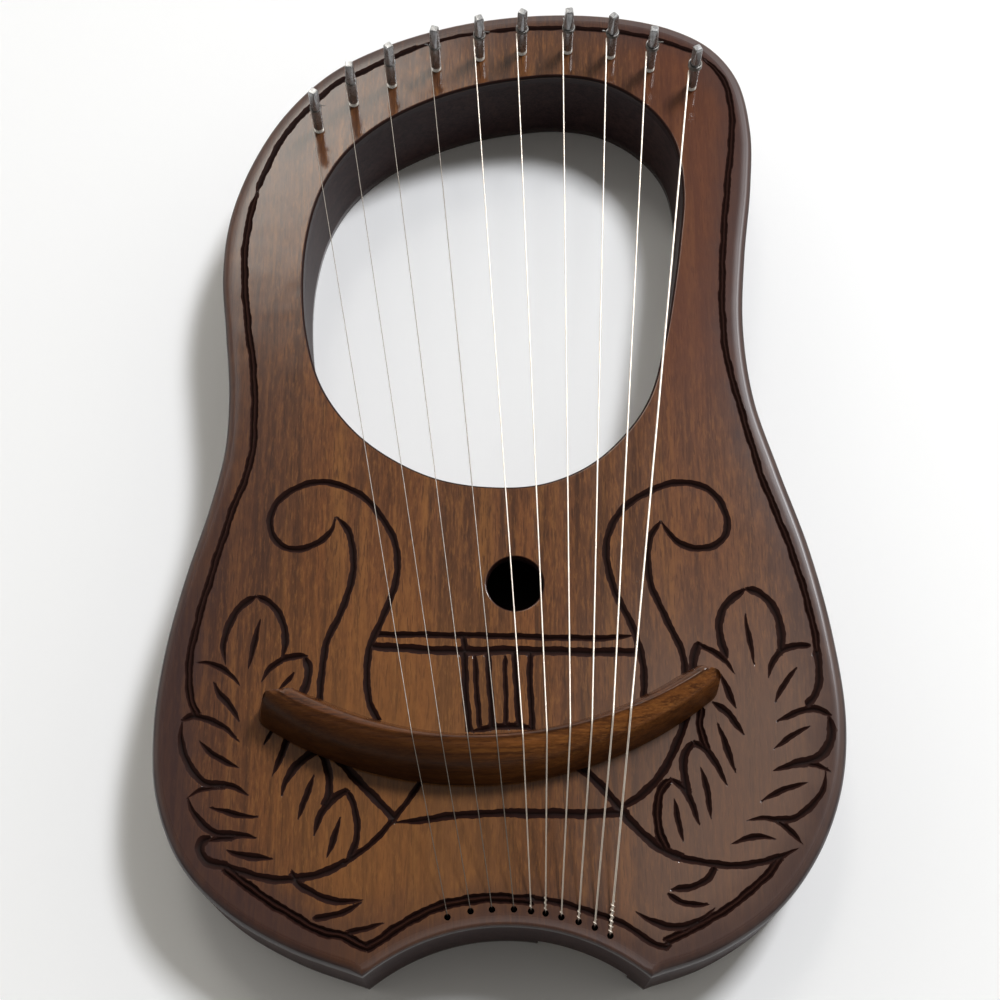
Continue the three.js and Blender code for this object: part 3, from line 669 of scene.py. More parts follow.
def soundboard_finish():
    finish = lacquered("lacquered_face", 0.85, 0.13)
    colour, holes = grain(finish, FACE_TONES, upright)
    across, along, height = finish.place_mm()

    # A warmer heart low on the treble side, and a greyer board on the bass side.
    heart_x = finish.math("ABSOLUTE", finish.math("ADD", across, 38.0))
    heart = finish.times(finish.fit(heart_x, 15.0, 75.0, 1.0, 0.0), finish.fit(along, -40.0, -120.0))
    colour = finish.mix(finish.times(heart, 0.36), colour, (0.225, 0.092, 0.022))
    grey = finish.times(finish.fit(across, 5.0, 80.0), finish.fit(along, -32.0, -125.0))
    colour = finish.mix(finish.times(grey, 0.62), colour, (0.163, 0.113, 0.09))
    red = finish.times(finish.fit(across, 30.0, 80.0), finish.fit(along, -20.0, 60.0, 0.25, 1.0))
    colour = finish.mix(finish.times(red, 0.75), colour, (0.088, 0.022, 0.008))

    # The dark stain creeps in from the outer edge, covers the rim and fills the carving; the bottoms of the
    # grooves get painted shade on top of it.
    rim, uneven, reach = uneven_rim(finish)
    burst = finish.fit(reach, 2.0, 21.0, 0.72, 0.0)
    treble = finish.times(finish.fit(across, -50.0, -110.0, 0.0, 0.5), finish.fit(reach, 50.0, 8.0))
    low = finish.times(finish.fit(along, 20.0, -90.0), finish.fit(across, 0.0, -80.0))
    low = finish.times(low, finish.fit(reach, 30.0, 8.0, 0.0, 0.85))
    shade = finish.math("MAXIMUM", finish.math("MAXIMUM", burst, treble), low)
    colour = finish.mix(shade, colour, EDGE_SHADE)
    depth = finish.math("SUBTRACT", FACE_Z, height)
    edge = finish.fit(finish.math("ADD", rim, finish.fit(uneven, 0.3, 0.7, -0.7, 0.7)), 0.1, 3.4, 1.0, 0.0)
    edge = finish.times(edge, finish.fit(depth, 0.1, 1.6))
    walls = finish.math("MAXIMUM", edge, finish.fit(depth, 1.5, 1.9))
    inland = finish.math("SUBTRACT", finish.fit(rim, 4.2, 5.0), finish.fit(depth, 1.5, 1.6))
    carved = finish.times(finish.fit(depth, 0.003, 0.05), inland)
    # Painted shade: darker towards the bottom of each groove.
    deepest = finish.times(finish.fit(depth, 0.35, 1.0), inland)
    colour = finish.mix(carved, colour, CARVED)
    colour = finish.mix(deepest, colour, CARVED_BOTTOM_SHADE)
    finish.use("Base Color", finish.mix(walls, colour, STAIN))
    finish.use("Roughness", finish.fit(carved, 0.0, 1.0, 0.5, 0.65))
    shine = finish.math("SUBTRACT", 0.9, finish.times(carved, 0.78))
    finish.use("Coat Weight", finish.math("SUBTRACT", shine, finish.times(walls, 0.72)))
    dull = finish.math("MAXIMUM", finish.fit(rim, 6.0, 1.0, 0.13, 0.46), finish.times(carved, 0.5))
    finish.use("Coat Roughness", dull)
    worn(finish, holes, 45.0, 0.2)
    finish.use("Coat Normal", finish.bump(finish.noise(finish.place(), 45.0, 2.0), 0.6 * MM, 0.14))
    return finish.material


def body_finish():
    finish = lacquered("stained_body", 0.13, 0.35)
    colour, holes = grain(finish, BODY_TONES, upright)
    finish.use("Base Color", colour)
    worn(finish, holes, 55.0, 0.3)
    return finish.material


def back_finish():
    finish = lacquered("lacquered_back", 0.8, 0.2)
    colour, holes = grain(finish, BACK_TONES, upright)
    reach = uneven_rim(finish)[2]
    finish.use("Base Color", finish.mix(finish.fit(reach, 1.0, 16.0, 0.9, 0.0), colour, STAIN))
    worn(finish, holes, 45.0, 0.25)
    return finish.material


def bridge_finish():
    """Golden, with painted shade in front low down and on the treble side, a darker copy of the wood behind
    the ridge to offset the lamp there, and duller in front of the ridge.
    """
    finish = lacquered("lacquered_bridge", 0.8, 0.14)
    colour, holes = grain(finish, BRIDGE_TONES, sideways, 30.0, 420.0, 1600.0)
    across, _, height = finish.place_mm()
    front = finish.attribute("front")
    # Painted shade: the front darkens low down by the board and on the treble side, which faces away from
    # the lamp.
    foot = finish.fit(height, FACE_Z + 17, FACE_Z + 4, 0.0, 0.5)
    shade = finish.math("MAXIMUM", foot, finish.fit(across, 34.0, -30.0, 0.0, 0.82))
    colour = finish.mix(finish.times(shade, front), colour, (0.02, 0.006, 0.0025))
    # Painted shade: the top and back behind the ridge take a darker copy of the wood, offsetting the lamp
    # that lights them more than the front.
    finish.use("Base Color", finish.mix(finish.fit(front, 1.0, 0.0), colour, (0.36, 0.3, 0.24), "MULTIPLY"))
    finish.use("Coat Weight", finish.fit(front, 0.3, 1.0, 0.8, 0.2))
    finish.use("Coat Roughness", finish.fit(front, 0.3, 1.0, 0.14, 0.3))
    worn(finish, holes, 120.0, 0.25, 0.05)
    return finish.material


def brace_finish():
    finish = Finish("bare_spruce", Roughness=0.75)
    colour, holes = grain(finish, SPRUCE_TONES, sideways, 60.0, 500.0, 1500.0, 0.2)
    finish.use("Base Color", colour)
    finish.use("Normal", finish.bump(holes, -0.00005, 0.4))
    return finish.material


def metal_finish(name, colour, tarnish, roughness, smears=0.55):
    """Bright metal with faint smears and small dull spots."""
    finish = Finish(name, Metallic=1.0)
    smear = finish.noise(finish.place((1, 1, 0.35)), 420.0, 4.0, 0.6)
    spots = finish.noise(finish.place(), 900.0, 2.0)
    shade = finish.mix(finish.fit(smear, 0.42, 0.75, 0.0, smears), colour, tarnish)
    finish.colour = finish.mix(finish.fit(spots, 0.62, 0.72, 0.0, smears), shade, tarnish)
    finish.use("Base Color", finish.colour)
    finish.use("Roughness", finish.fit(smear, 0.3, 0.75, roughness, roughness + 0.16))
    finish.use("Normal", finish.bump(smear, 0.00008, 0.35 * smears))
    return finish


def pin_finish():
    """Dark nickel, with a painted highlight: the thread just above the face is near white, for the glint at
    each pin's foot.
    """
    finish = metal_finish("nickel_steel", (0.4, 0.4, 0.405), (0.15, 0.145, 0.14), 0.2)
    finish.use("Metallic", 0.7)
    height = finish.place_mm()[2]
    # Painted highlight: a near-white band just above the face, for the glint at the pin's foot.
    cut = finish.fit(height, FACE_Z + 2.6, FACE_Z + 2.0)
    finish.use("Base Color", finish.mix(cut, finish.colour, (0.95, 0.92, 0.88)))
    return finish.material


def wound_finish():
    """Bronze wire wound round a steel core: fine rings along the string."""
    finish = metal_finish("wound_bronze", (0.93, 0.85, 0.76), (0.72, 0.6, 0.48), 0.3, 0.3)
    wave = finish.add("TexWave", bands_direction="Y", wave_profile="SIN")
    finish.put(finish.place(), wave.inputs["Vector"])
    wave.inputs["Scale"].default_value = 1900.0
    finish.use("Normal", finish.bump(wave.outputs["Fac"], 0.00004, 0.3))
    return finish.material


def floor_finish():
    finish = Finish("pale_floor", Roughness=0.75)
    cloud = finish.noise(finish.place(), 3.0, 2.0)
    finish.use("Base Color", finish.mix(cloud, (0.93, 0.93, 0.935), (0.95, 0.95, 0.955)))
    return finish.material


FACE_WOOD = soundboard_finish()
BODY_WOOD = body_finish()
BACK_WOOD = back_finish()
BRIDGE_WOOD = bridge_finish()
BRACE_WOOD = brace_finish()
PIN_METAL = pin_finish()
PLAIN_METAL = metal_finish("plain_steel", (0.3, 0.27, 0.24), (0.2, 0.17, 0.14), 0.35, 0.3).material
CORE_METAL = metal_finish("core_steel", (0.24, 0.23, 0.22), (0.12, 0.11, 0.1), 0.3).material
WOUND_METAL = wound_finish()
BALL_METAL = metal_finish("ball_brass", (0.8, 0.58, 0.24), (0.4, 0.25, 0.1), 0.26).material


# ---- Carving ----
class Cuts:
    """All the carved grooves, as samples along them, and how deep they go at any point."""

    # Spacing of the samples, how far from a point a cut is looked for, and where the face is held flat
    # beside a cut and past its ends.
    STEP = 0.75
    LONGEST_REACH = 3.2
    GUARD = 0.4
    CAPS = (0.56, 1.0)
    SHARES = (-1, -0.5, 0, 0.5, 1)
    DOUBLE_SHARES = (-1, -0.75, -0.5, -0.22, 0, 0.22, 0.5, 0.75, 1)
    # The tables give the width of the dark line; the groove is a little wider.
    WIDER = 1.3

    def __init__(self):
        rows = []
        self.loose = []
        single = BORDER + TAIL_BORDER + LYRE + LEFT_SPRAY + RIGHT_SPRAY
        double = DOUBLE_BORDER + DOUBLE_LEAVES
        for number, cut in enumerate(single + double):
            rows.append(self.sample(number, number >= len(single), *cut))
        self.rows = np.vstack(rows)
        self.tree = kdtree.KDTree(len(self.rows))
        for i, row in enumerate(self.rows):
            self.tree.insert((row[0], row[1], 0), i)
        self.tree.balance()

    def sample(self, number, is_double, width, start, end, points):
        """Rows of x, y, along x, along y, half width, doubled; the hand of the carver makes them uneven."""
        if len(points) > 2:
            line = smooth(points, self.STEP)
        else:
            line = resample(np.array(points, float), self.STEP)
        share = np.linspace(0, 1, len(line))
        along = np.gradient(line, axis=0)
        along /= np.linalg.norm(along, axis=1)[:, None]
        across = np.column_stack([-along[:, 1], along[:, 0]])
        travel = share * len(line) * self.STEP
        wander = 0.13 * np.sin(travel * 0.31 + number) + 0.07 * np.sin(travel * 0.83 + 2.1 * number)
        line = line + across * wander[:, None]
        swell = 0.08 * np.sin(travel * 0.57 + 1.7 * number) + 0.05 * np.sin(travel * 1.9 + number)
        half = self.WIDER * width / 2 * (1 + swell)
        for taper, from_end in ((start, share), (end, 1 - share)):
            if taper:
                half = half * (0.06 + 0.94 * np.sin(np.clip(from_end / taper, 0, 1) * math.pi / 2) ** 0.75)
        shares = self.DOUBLE_SHARES if is_double else self.SHARES
        for offset in [side * half for side in shares] + [half + self.GUARD, -half - self.GUARD]:
            self.loose.append(line + across * offset[:, None])
            for end, way in ((0, -1), (-1, 1)):
                for beyond in self.CAPS:
                    cap = line[end] + way * beyond * along[end] + across[end] * offset[end]
                    self.loose.append(cap[None])
        return np.column_stack([line, along, half, np.full(len(line), float(is_double))])

    def depth(self, points):
        """How far below the face each point lies."""
        pairs = []
        for i, (x, y) in enumerate(points):
            pairs.extend((i, found[1]) for found in self.tree.find_range((x, y, 0), self.LONGEST_REACH))
        depth = np.zeros(len(points))
        if not pairs:
            return depth
        here, there = np.array(pairs).T
        row = self.rows[there]
        away = np.asarray(points)[here] - row[:, :2]
        along = np.abs((away * row[:, 2:4]).sum(1))
        across = np.abs(away[:, 1] * row[:, 2] - away[:, 0] * row[:, 3]) / row[:, 4]
        single = 1 - across
        double = 1 - np.abs(2 * across - 1)
        deepest = np.where(row[:, 5] > 0, 0.55 * row[:, 4], np.minimum(0.85 * row[:, 4], 1.1))
        cut = np.where(row[:, 5] > 0, double, single) * deepest
        cut[(along > 0.7 * self.STEP) | (across > 1)] = 0
        np.maximum.at(depth, here, np.maximum(cut, 0))
        return depth


def thinned(points, cell):
    """One point for each cell of a grid."""
    keys = np.round(points / cell).astype(int)
    _, first = np.unique(keys, axis=0, return_index=True)
    return points[np.sort(first)]


def tree_of(points):
    tree = kdtree.KDTree(len(points))
    for i, (x, y) in enumerate(points):
        tree.insert((x, y, 0), i)
    tree.balance()
    return tree


OUTER_TREE = tree_of(outer)
OPENING_TREE = tree_of(opening)


def mark_rim(piece, *trees):
    """Gives each point its distance from the nearest edge, in millimetres, for the stain."""
    mesh = piece.data
    rim = mesh.attributes.new("rim", "FLOAT", "POINT")
    values = [min(tree.find((v.co.x / MM, v.co.y / MM, 0))[2] for tree in trees) for v in mesh.vertices]
    rim.data.foreach_set("value", values)


def grid_fill(pitch, clear_of, distance):
    """Loose points over the whole face, except near what is finer."""
    xs, ys = np.meshgrid(np.arange(-134, 136, pitch), np.arange(-212, 214, pitch))
    xs = xs + (np.arange(len(xs)) % 2)[:, None] * pitch / 2
    points = np.column_stack([xs.ravel(), ys.ravel()])
    keep = [clear_of.find((x, y, 0))[2] > distance for x, y in points]
    return points[keep]


ARC_ROUND = 1.4


def edge_rounding():
    """The radius of the front edge at each point of the outline: softer low down, crisp along the arc."""
    top, bottom = outer[:, 1].max(), TIP_LEFT[1]
    low = (top - outer[:, 1]) / (top - bottom)
    radius = 1.9 + 2.6 * low
    radius[-len(arc) - 1:] = ARC_ROUND
    radius[0] = ARC_ROUND
    window = 7
    padded = np.concatenate([radius[-window:], radius, radius[:window]])
    return np.convolve(padded, np.ones(window) / window, "same")[window:-window]


def rounded_rings(loop, radius, face_z, far_z, steps=8):
    """Rings from a flat face over a rounded edge and straight on; upside down where far_z is higher."""
    way = -1 if far_z < face_z else 1
    rings = []
    for a in np.linspace(math.pi / 2, 0, steps + 1):
        ring = moved_inwards(loop, radius * (1 - math.cos(a)))
        rings.append(at_height(ring, face_z + way * radius * (1 - math.sin(a))))
    rings.append(at_height(loop, far_z))
    return rings


def soundboard():
    cuts = Cuts()
    edge = edge_rounding()
    opening_round = np.full(len(opening), 1.1)
    hole = circle(*SOUND_HOLE, 64)
    hole_round = np.full(len(hole), 0.7)
    small = [circle(*pin, PIN_HOLE, 24) for pin, _, _, _ in STRINGS]
    small += [circle(*place, STRING_HOLE, 16) for _, _, place, _ in STRINGS]
    rounded = ((outer, edge), (opening, opening_round), (hole, hole_round))
    rims = [moved_inwards(loop, radius) for loop, radius in rounded]
    loose = thinned(np.vstack(cuts.loose), 0.28)
    loose = np.vstack([loose, grid_fill(4.0, cuts.tree, 3.0)])
    keep = inside(loose, moved_inwards(outer, edge + 0.4))
    for loop in [moved_inwards(ring, np.full(len(ring), 0.3)) for ring in rims[1:] + small]:
        keep &= ~inside(loose, loop)
    verts, tris = plate(rims + small, loose=loose[keep])
    parts = [(at_height(verts, FACE_Z - cuts.depth(verts)), tris)]
    for loop, radius in rounded:
        parts.append(skirt(rounded_rings(loop, radius, FACE_Z, CORE_TOP)))
    for loop in small:
        parts.append(skirt([at_height(loop, FACE_Z - cuts.depth(loop)), at_height(loop, CORE_TOP)]))
    verts, tris = plate([outer, opening, hole] + small)
    parts.append((at_height(verts, CORE_TOP), tris[:, ::-1]))
    piece = mesh_piece("carved_soundboard", *gathered(parts), FACE_WOOD, 30, FACE_Z)
    mark_rim(piece, OUTER_TREE)
    finish_piece(piece, "body", "soundboard_wood", "soundboard")


SECTOR_POINTS = 36


def tail_sector(inner, outside, low, high):
    """Part of a ring round the bottom arc's centre, clockwise; degrees from +Y towards +X."""
    far = np.radians(np.linspace(low, high, SECTOR_POINTS))
    near = far[::-1]
    return np.vstack([
        np.column_stack([TAIL_X + outside * np.sin(far), TAIL_Y + outside * np.cos(far)]),
        np.column_stack([TAIL_X + inner * np.sin(near), TAIL_Y + inner * np.cos(near)]),
    ])


# The pocket for the ball ends runs behind the bottom arc, and the slit opens part of it through the arc.
POCKET_START, SLIT_START, POCKET_END = -19, 8, 33
POCKET_NEAR, POCKET_FAR, SLIT_PAST = TAIL_RADIUS + 2, TAIL_RADIUS + 9, TAIL_RADIUS + 2.5
POCKET = tail_sector(POCKET_NEAR, POCKET_FAR, POCKET_START, POCKET_END)
SLIT = tail_sector(TAIL_RADIUS - 2, SLIT_PAST, SLIT_START, POCKET_END)
TAIL_CUTS = [np.vstack([loop, loop[:1]]) for loop in (POCKET, SLIT)]


def back_plate():
    edge = np.full(len(outer), 2.0)
    opening_round = np.full(len(opening), 1.0)
    rims = [moved_inwards(outer, edge), moved_inwards(opening, opening_round)]
    parts = []
    for loops, z, way in ((rims, 0.0, -1), ([outer, opening], CORE_BOTTOM, 1)):
        verts, tris = plate(loops, TAIL_CUTS, gaps=(POCKET, SLIT))
        parts.append((at_height(verts, z), tris[:, ::way]))
    for loop, radius in ((outer, edge), (opening, opening_round)):
        points, faces = skirt(rounded_rings(loop, radius, 0.0, CORE_BOTTOM))
        x, y = (points[np.array(faces)].mean(axis=1)[:, :2] - (TAIL_X, TAIL_Y)).T
        angle = np.degrees(np.arctan2(x, y))
        cut = (angle > SLIT_START) & (angle < POCKET_END) & (np.hypot(x, y) < SLIT_PAST)
        parts.append((points, [f[::-1] for f, gone in zip(faces, cut) if not gone]))
    for radius, high, way in ((POCKET_FAR, POCKET_END, 1), (POCKET_NEAR, SLIT_START, -1)):
        wall = tail_sector(radius, radius, POCKET_START, high)[:SECTOR_POINTS]
        points = np.vstack([at_height(wall, 0.0), at_height(wall, CORE_BOTTOM)])
        quads = [(i, i + 1, SECTOR_POINTS + i + 1, SECTOR_POINTS + i) for i in range(SECTOR_POINTS - 1)]
        parts.append((points, [quad[::way] for quad in quads]))
    through_arc = TAIL_RADIUS - 0.2
    for degrees, near, far, way in (
        (POCKET_START, POCKET_NEAR, POCKET_FAR, 1),
        (POCKET_END, through_arc, POCKET_FAR, -1),
        (SLIT_START, through_arc, POCKET_NEAR, 1),
    ):
        a = math.radians(degrees)
        inner, outside = ((TAIL_X + r * math.sin(a), TAIL_Y + r * math.cos(a)) for r in (near, far))
        points = [(*inner, 0), (*outside, 0), (*outside, CORE_BOTTOM), (*inner, CORE_BOTTOM)]
        parts.append((np.array(points), [(0, 1, 2, 3)[::way]]))
    piece = mesh_piece("lacquered_back_plate", *gathered(parts), BACK_WOOD)
    mark_rim(piece, OUTER_TREE, OPENING_TREE)
    finish_piece(piece, "body", "body_wood", "back_plate")


def core_pieces():
    """The pin block, the ribs, the tail block and the waist rail, sawn from one ring."""
    yoke, rail, tail_x, tail_y = 118, 54, 96, -150
    pins = [circle(*pin, PIN_HOLE, 24) for pin, _, _, _ in STRINGS]
    holes = [circle(*place, STRING_HOLE, 16) for _, _, place, _ in STRINGS]
    cuts = [
        [(-200, yoke), (200, yoke)], [(-rail, -60), (-rail, 60)], [(rail, -60), (rail, 60)],
        [(-tail_x, -250), (-tail_x, tail_y)], [(tail_x, -250), (tail_x, tail_y)],
        [(-tail_x, tail_y), (tail_x, tail_y)],
    ]
    lines = [np.array(cut, float) for cut in cuts] + TAIL_CUTS
    verts, tris, middles = triangulate([outer, opening, chamber] + pins + holes, lines)
    ring = inside(middles, outer) & ~inside(middles, opening) & ~inside(middles, chamber)
    pinned, strung = (np.any([inside(middles, loop) for loop in loops], axis=0) for loops in (pins, holes))
    pocket = inside(middles, POCKET) | inside(middles, SLIT)
    x, y = middles.T
    top = y > yoke
    tail = (np.abs(x) < tail_x) & (y < tail_y)
    waist = (np.abs(x) < rail) & (np.abs(y) < 60)
    side = ring & ~top & ~tail & ~waist
    layers = {
        "pin_block": [
            (CORE_BOTTOM, PIN_FOOT - 2, ring & top), (PIN_FOOT - 2, CORE_TOP, ring & top & ~pinned),
        ],
        "tail_block": [
            (CORE_BOTTOM, POCKET_TOP, ring & tail & ~pocket), (POCKET_TOP, CORE_TOP, ring & tail & ~strung),
        ],
        "waist_rail": [(CORE_BOTTOM, CORE_TOP, ring & waist)],
        "left_rib": [(CORE_BOTTOM, CORE_TOP, side & (x < 0))],
        "right_rib": [(CORE_BOTTOM, CORE_TOP, side & (x > 0))],
    }
    for node, stack in layers.items():
        piece = mesh_piece(f"stained_{node}", *layered(verts, tris, stack), BODY_WOOD)
        finish_piece(piece, "body", "body_wood", node)


# ---- Bridge ----
RIDGE = (-10.8, 34.3, 162.7)
BRIDGE_FRONT = (-11.8, 8.4, 149.9)
BRIDGE_BACK = (-8.3, 22.3, 143.6)
BACK_LEAN = 6.0
BRIDGE_LEFT, BRIDGE_RIGHT = -93.5, 85.0
# The back corner of each end, and the x of the shoulder where the back arc turns straight towards it.
LEFT_CORNER, RIGHT_CORNER = -109.9, -101.5
LEFT_SHOULDER, RIGHT_SHOULDER = -70, 70
RIDGE_ROUND = 1.15
FRONT_POINTS = 17
# Towards the bass end the front turns into two flats that meet at a knee: how far in and up it is there.
KNEE_RUN = (0, 0.6, 1), (0, 0.42, 1)
KNEE_RISE = (0, 0.6, 1), (0, 0.8, 1)


def below(circle_, x):
    """The low side of a circle at x."""
    cx, cy, radius = circle_
    return cy - math.sqrt(radius**2 - (x - cx) ** 2)


def back_limit(x):
    """How far back the bridge may reach at x: the ends are cut straight from shoulder to corner."""
    if x < LEFT_SHOULDER:
        share = (LEFT_SHOULDER - x) / (LEFT_SHOULDER - BRIDGE_LEFT)
        return below(BRIDGE_BACK, LEFT_SHOULDER) * (1 - share) + LEFT_CORNER * share
    if x > RIGHT_SHOULDER:
        share = (x - RIGHT_SHOULDER) / (BRIDGE_RIGHT - RIGHT_SHOULDER)
        return below(BRIDGE_BACK, RIGHT_SHOULDER) * (1 - share) + RIGHT_CORNER * share
    return below(BRIDGE_BACK, x)


def bridge_section(x):
    """One cut across the bridge: from the foot in front, over the ridge, to the foot behind."""
    front, ridge, back = (below(c, x) for c in (BRIDGE_FRONT, RIDGE, BRIDGE_BACK))
    height = RIDGE_Z - FACE_Z
    brow = max(back - BACK_LEAN, ridge + 1.3)
    facet = 0.85 * min(max((x - 15) / 55, 0.0), 1.0)
    points = []
    for t in np.linspace(0, 1, FRONT_POINTS):
        rise = math.sin(t * math.pi / 2) ** 0.9
        run = 0.72 * (1 - math.cos(t * math.pi / 2)) + 0.28 * t**1.3
        run += (np.interp(t, *KNEE_RUN) - run) * facet
        rise += (np.interp(t, *KNEE_RISE) - rise) * facet
        points.append((front + (ridge - 0.75 - front) * run, FACE_Z + (height - 0.55) * rise))
    for lean in np.radians((-42, -28, -14, 0, 14)):
        along, down = RIDGE_ROUND * math.sin(lean), RIDGE_ROUND * (1 - math.cos(lean))
        points.append((ridge + 0.3 + along, RIDGE_Z - down))
    drop = 0.3 + 0.24 * (brow - ridge)
    for t in np.linspace(0.3, 0.9, 4):
        points.append((ridge + 0.7 + (brow - ridge - 0.7) * t, RIDGE_Z - 0.1 - (drop - 0.1) * t**1.4))
    for t in np.linspace(0.06, 1, 7):
        points.append((brow + (back - brow) * t, RIDGE_Z - drop - (height - drop) * t**1.05))
    return np.array(points)


def stopped_short(points, nearest, farthest, top_round):
    """Keeps a section between two upright walls, with its top rounded over into them."""
    for edge, side in ((nearest, 1), (farthest, -1)):
        inwards = np.clip(side * (points[:, 0] - edge) / top_round, 0, 1)
        ceiling = RIDGE_Z - top_round * (1 - np.sqrt(1 - (1 - inwards) ** 2))
        high = points[:, 1] > RIDGE_Z - 4
        points[:, 1] = np.where(high, np.minimum(points[:, 1], ceiling), points[:, 1])
    points[:, 0] = np.clip(points[:, 0], nearest, farthest)
    return points


def bridge():
    """Sections from end to end. Each end is rounded in plan and leans in a little."""
    turn = 2.1
    bends = turn * (1 - np.cos(np.linspace(0, math.pi / 2, 7)))
    stations = [BRIDGE_LEFT + bend for bend in bends]
    stations += list(np.linspace(BRIDGE_LEFT + turn, BRIDGE_RIGHT - turn, 100)[1:-1])
    stations += [BRIDGE_RIGHT - bend for bend in bends[::-1]]
    rings = []
    for x in stations:
        to_end = min(x - BRIDGE_LEFT, BRIDGE_RIGHT - x)
        inset = turn - math.sqrt(max(turn**2 - max(turn - to_end, 0.0) ** 2, 0.0))
        section = bridge_section(x)
        section = stopped_short(section, section[0, 0] + inset, back_limit(x) - inset, 1.3)
        section[:, 1] -= 0.5 * inset * (section[:, 1] > FACE_Z + 15)
        up = (section[:, 1] - FACE_Z) / (RIDGE_Z - FACE_Z)
        from_left = max(0.0, 1 - (x - BRIDGE_LEFT) / 16)
        from_right = max(0.0, 1 - (BRIDGE_RIGHT - x) / 12)
        xs = x + 4.0 * from_left * up - 1.0 * from_right * up
        rings.append(np.column_stack([xs, section]))
    count = len(rings[0])
    faces = ring_faces(len(rings), count) + end_caps(len(rings), count)
    piece = mesh_piece("lacquered_bridge", np.vstack(rings), [f[::-1] for f in faces], BRIDGE_WOOD, 50)
    front = piece.data.attributes.new("front", "FLOAT", "POINT")
    ahead = [below(RIDGE, v.co.x / MM) + 0.2 - v.co.y / MM for v in piece.data.vertices]
    front.data.foreach_set("value", np.clip(ahead, 0, 1))
    finish_piece(piece, "body", "bridge_wood", "bridge")


# ---- Pins and strings ----
def tuning_pin(x, y, turn):
    """A round pin whose head is ground to a tapered square; the corners keep the round of the shaft."""
    count = 48
    slope = (2 * PIN_RADIUS - PIN_ACROSS) / PIN_HEAD
    neck = PIN_TOP - PIN_HEAD
    thread = np.arange(FACE_Z - 0.6, FACE_Z + 2.3, 0.28)
    head = np.linspace(neck + 0.4, PIN_TOP - 0.7, 9)
    heights = [PIN_FOOT, PIN_FOOT + 0.6, *thread, neck - 0.6, neck - 0.2, *head]
    rings = []
    for i, z in enumerate(heights):
        shaft = PIN_RADIUS - (0.5 if z == PIN_FOOT else 0.0)
        if 2 <= i < 2 + len(thread) and i % 2:
            shaft = PIN_RADIUS - 0.26
        half = (PIN_ACROSS + slope * (PIN_TOP - z)) / 2
        rings.append((z, shaft, half if z > neck else 9.0))
    half = PIN_ACROSS / 2
    rings += [(PIN_TOP - 0.3, half * 1.2, half - 0.06), (PIN_TOP - 0.06, half * 1.0, half - 0.34)]
    points = []
    for z, shaft, half in rings:
        for k in range(count):
            a = 2 * math.pi * (k + 0.5) / count
            flat = half / max(abs(math.cos(a)), abs(math.sin(a)))
            radius = min(shaft, flat)
            points.append((x + radius * math.cos(a + turn), y + radius * math.sin(a + turn), z))
    points.append((x, y, PIN_TOP))
    faces = ring_faces(len(rings), count)
    last = (len(rings) - 1) * count
    faces.extend((last + i, last + (i + 1) % count, len(points) - 1) for i in range(count))
    faces.append(tuple(range(count))[::-1])
    return np.array(points), faces


def winding(x, y, diameter, number):
    """Turns of string up the pin, then off them to a short cut end."""
    radius = PIN_RADIUS + COIL_GAP + diameter / 2
    pitch = diameter * 1.06
    turns = 2.9 + 0.17 * ((number * 3) % 4)
    bottom = COIL_Z - 1.3 * diameter
    path = []
    for s in np.linspace(0, turns, int(turns * 30)):
        a = math.pi - 2 * math.pi * s
        path.append((x + radius * math.cos(a), y + radius * math.sin(a), bottom + pitch * s))
    a = math.pi - 2 * math.pi * turns
    top = bottom + pitch * turns
    out, way = np.array([math.cos(a), math.sin(a), 0]), np.array([math.sin(a), -math.cos(a), 0])
    centre = np.array([x, y, 0])
    for along, away, lift in ((0.9, 0.1, 0.4), (1.7, 0.35, 0.8), (2.4, 0.9, 1.05), (2.9, 1.7, 1.1)):
        path.append(centre + out * (radius + away * 0.8) + way * along * 0.8 + np.array([0, 0, top + lift]))
    return tube(path, diameter / 2, 10)


def string_path(pin, ridge_x, hole, diameter):
    beside = PIN_RADIUS + COIL_GAP + diameter / 2
    outside = PIN_RADIUS + COIL_GAP + diameter + 0.06
    short = math.sqrt(outside**2 - (beside - diameter / 2) ** 2)
    lean = hole[1] + STRING_HOLE * 0.4
    corners = [
        (hole[0], lean, POCKET_TOP + 0.3),
        (hole[0], lean, FACE_Z - 0.2),
        (ridge_x, below(RIDGE, ridge_x) + 0.05, RIDGE_Z + diameter / 2 + 0.02),
        (pin[0] - beside, pin[1] - short, COIL_Z - 1.3 * diameter),
    ]
    return rounded_path(corners, (1.6, 2.2), 9)


def twist(path, diameter, reach):
    """The string's own end, turned round it above the hole."""
    corner = np.argmax(path[:, 2] > FACE_Z - 0.6)
    start = path[corner]
    target = path[corner + 9]
    way = (target - start) / np.linalg.norm(target - start)
    start = start + way * 0.3
    side = np.cross(way, (0, 0, 1.0))
    side /= np.linalg.norm(side)
    up = np.cross(side, way)
    wire = diameter * 0.36
    radius = diameter * 0.5 + wire * 0.7
    pitch = 1.9
    steps = int(reach / pitch * 16)
    line = []
    for t in np.linspace(0, 1, max(steps, 8)):
        a = 2 * math.pi * reach * t / pitch
        fade = 1 - 0.45 * max(0.0, (t - 0.85) / 0.15)
        line.append(start + way * reach * t + radius * fade * (math.cos(a) * side + math.sin(a) * up))
    return tube(line, wire, 8)


def ball_loop(hole, diameter):
    """The string's loop in the waist of its ball end."""
    wire = min(diameter / 2, 0.3)
    a = 2 * math.pi * np.arange(24) / 24
    ring = BALL_RADIUS - 0.25
    path = np.column_stack([np.full(24, hole[0]), hole[1] + ring * np.cos(a), BALL_Z + ring * np.sin(a)])
    return tube(path, wire, 8, True)


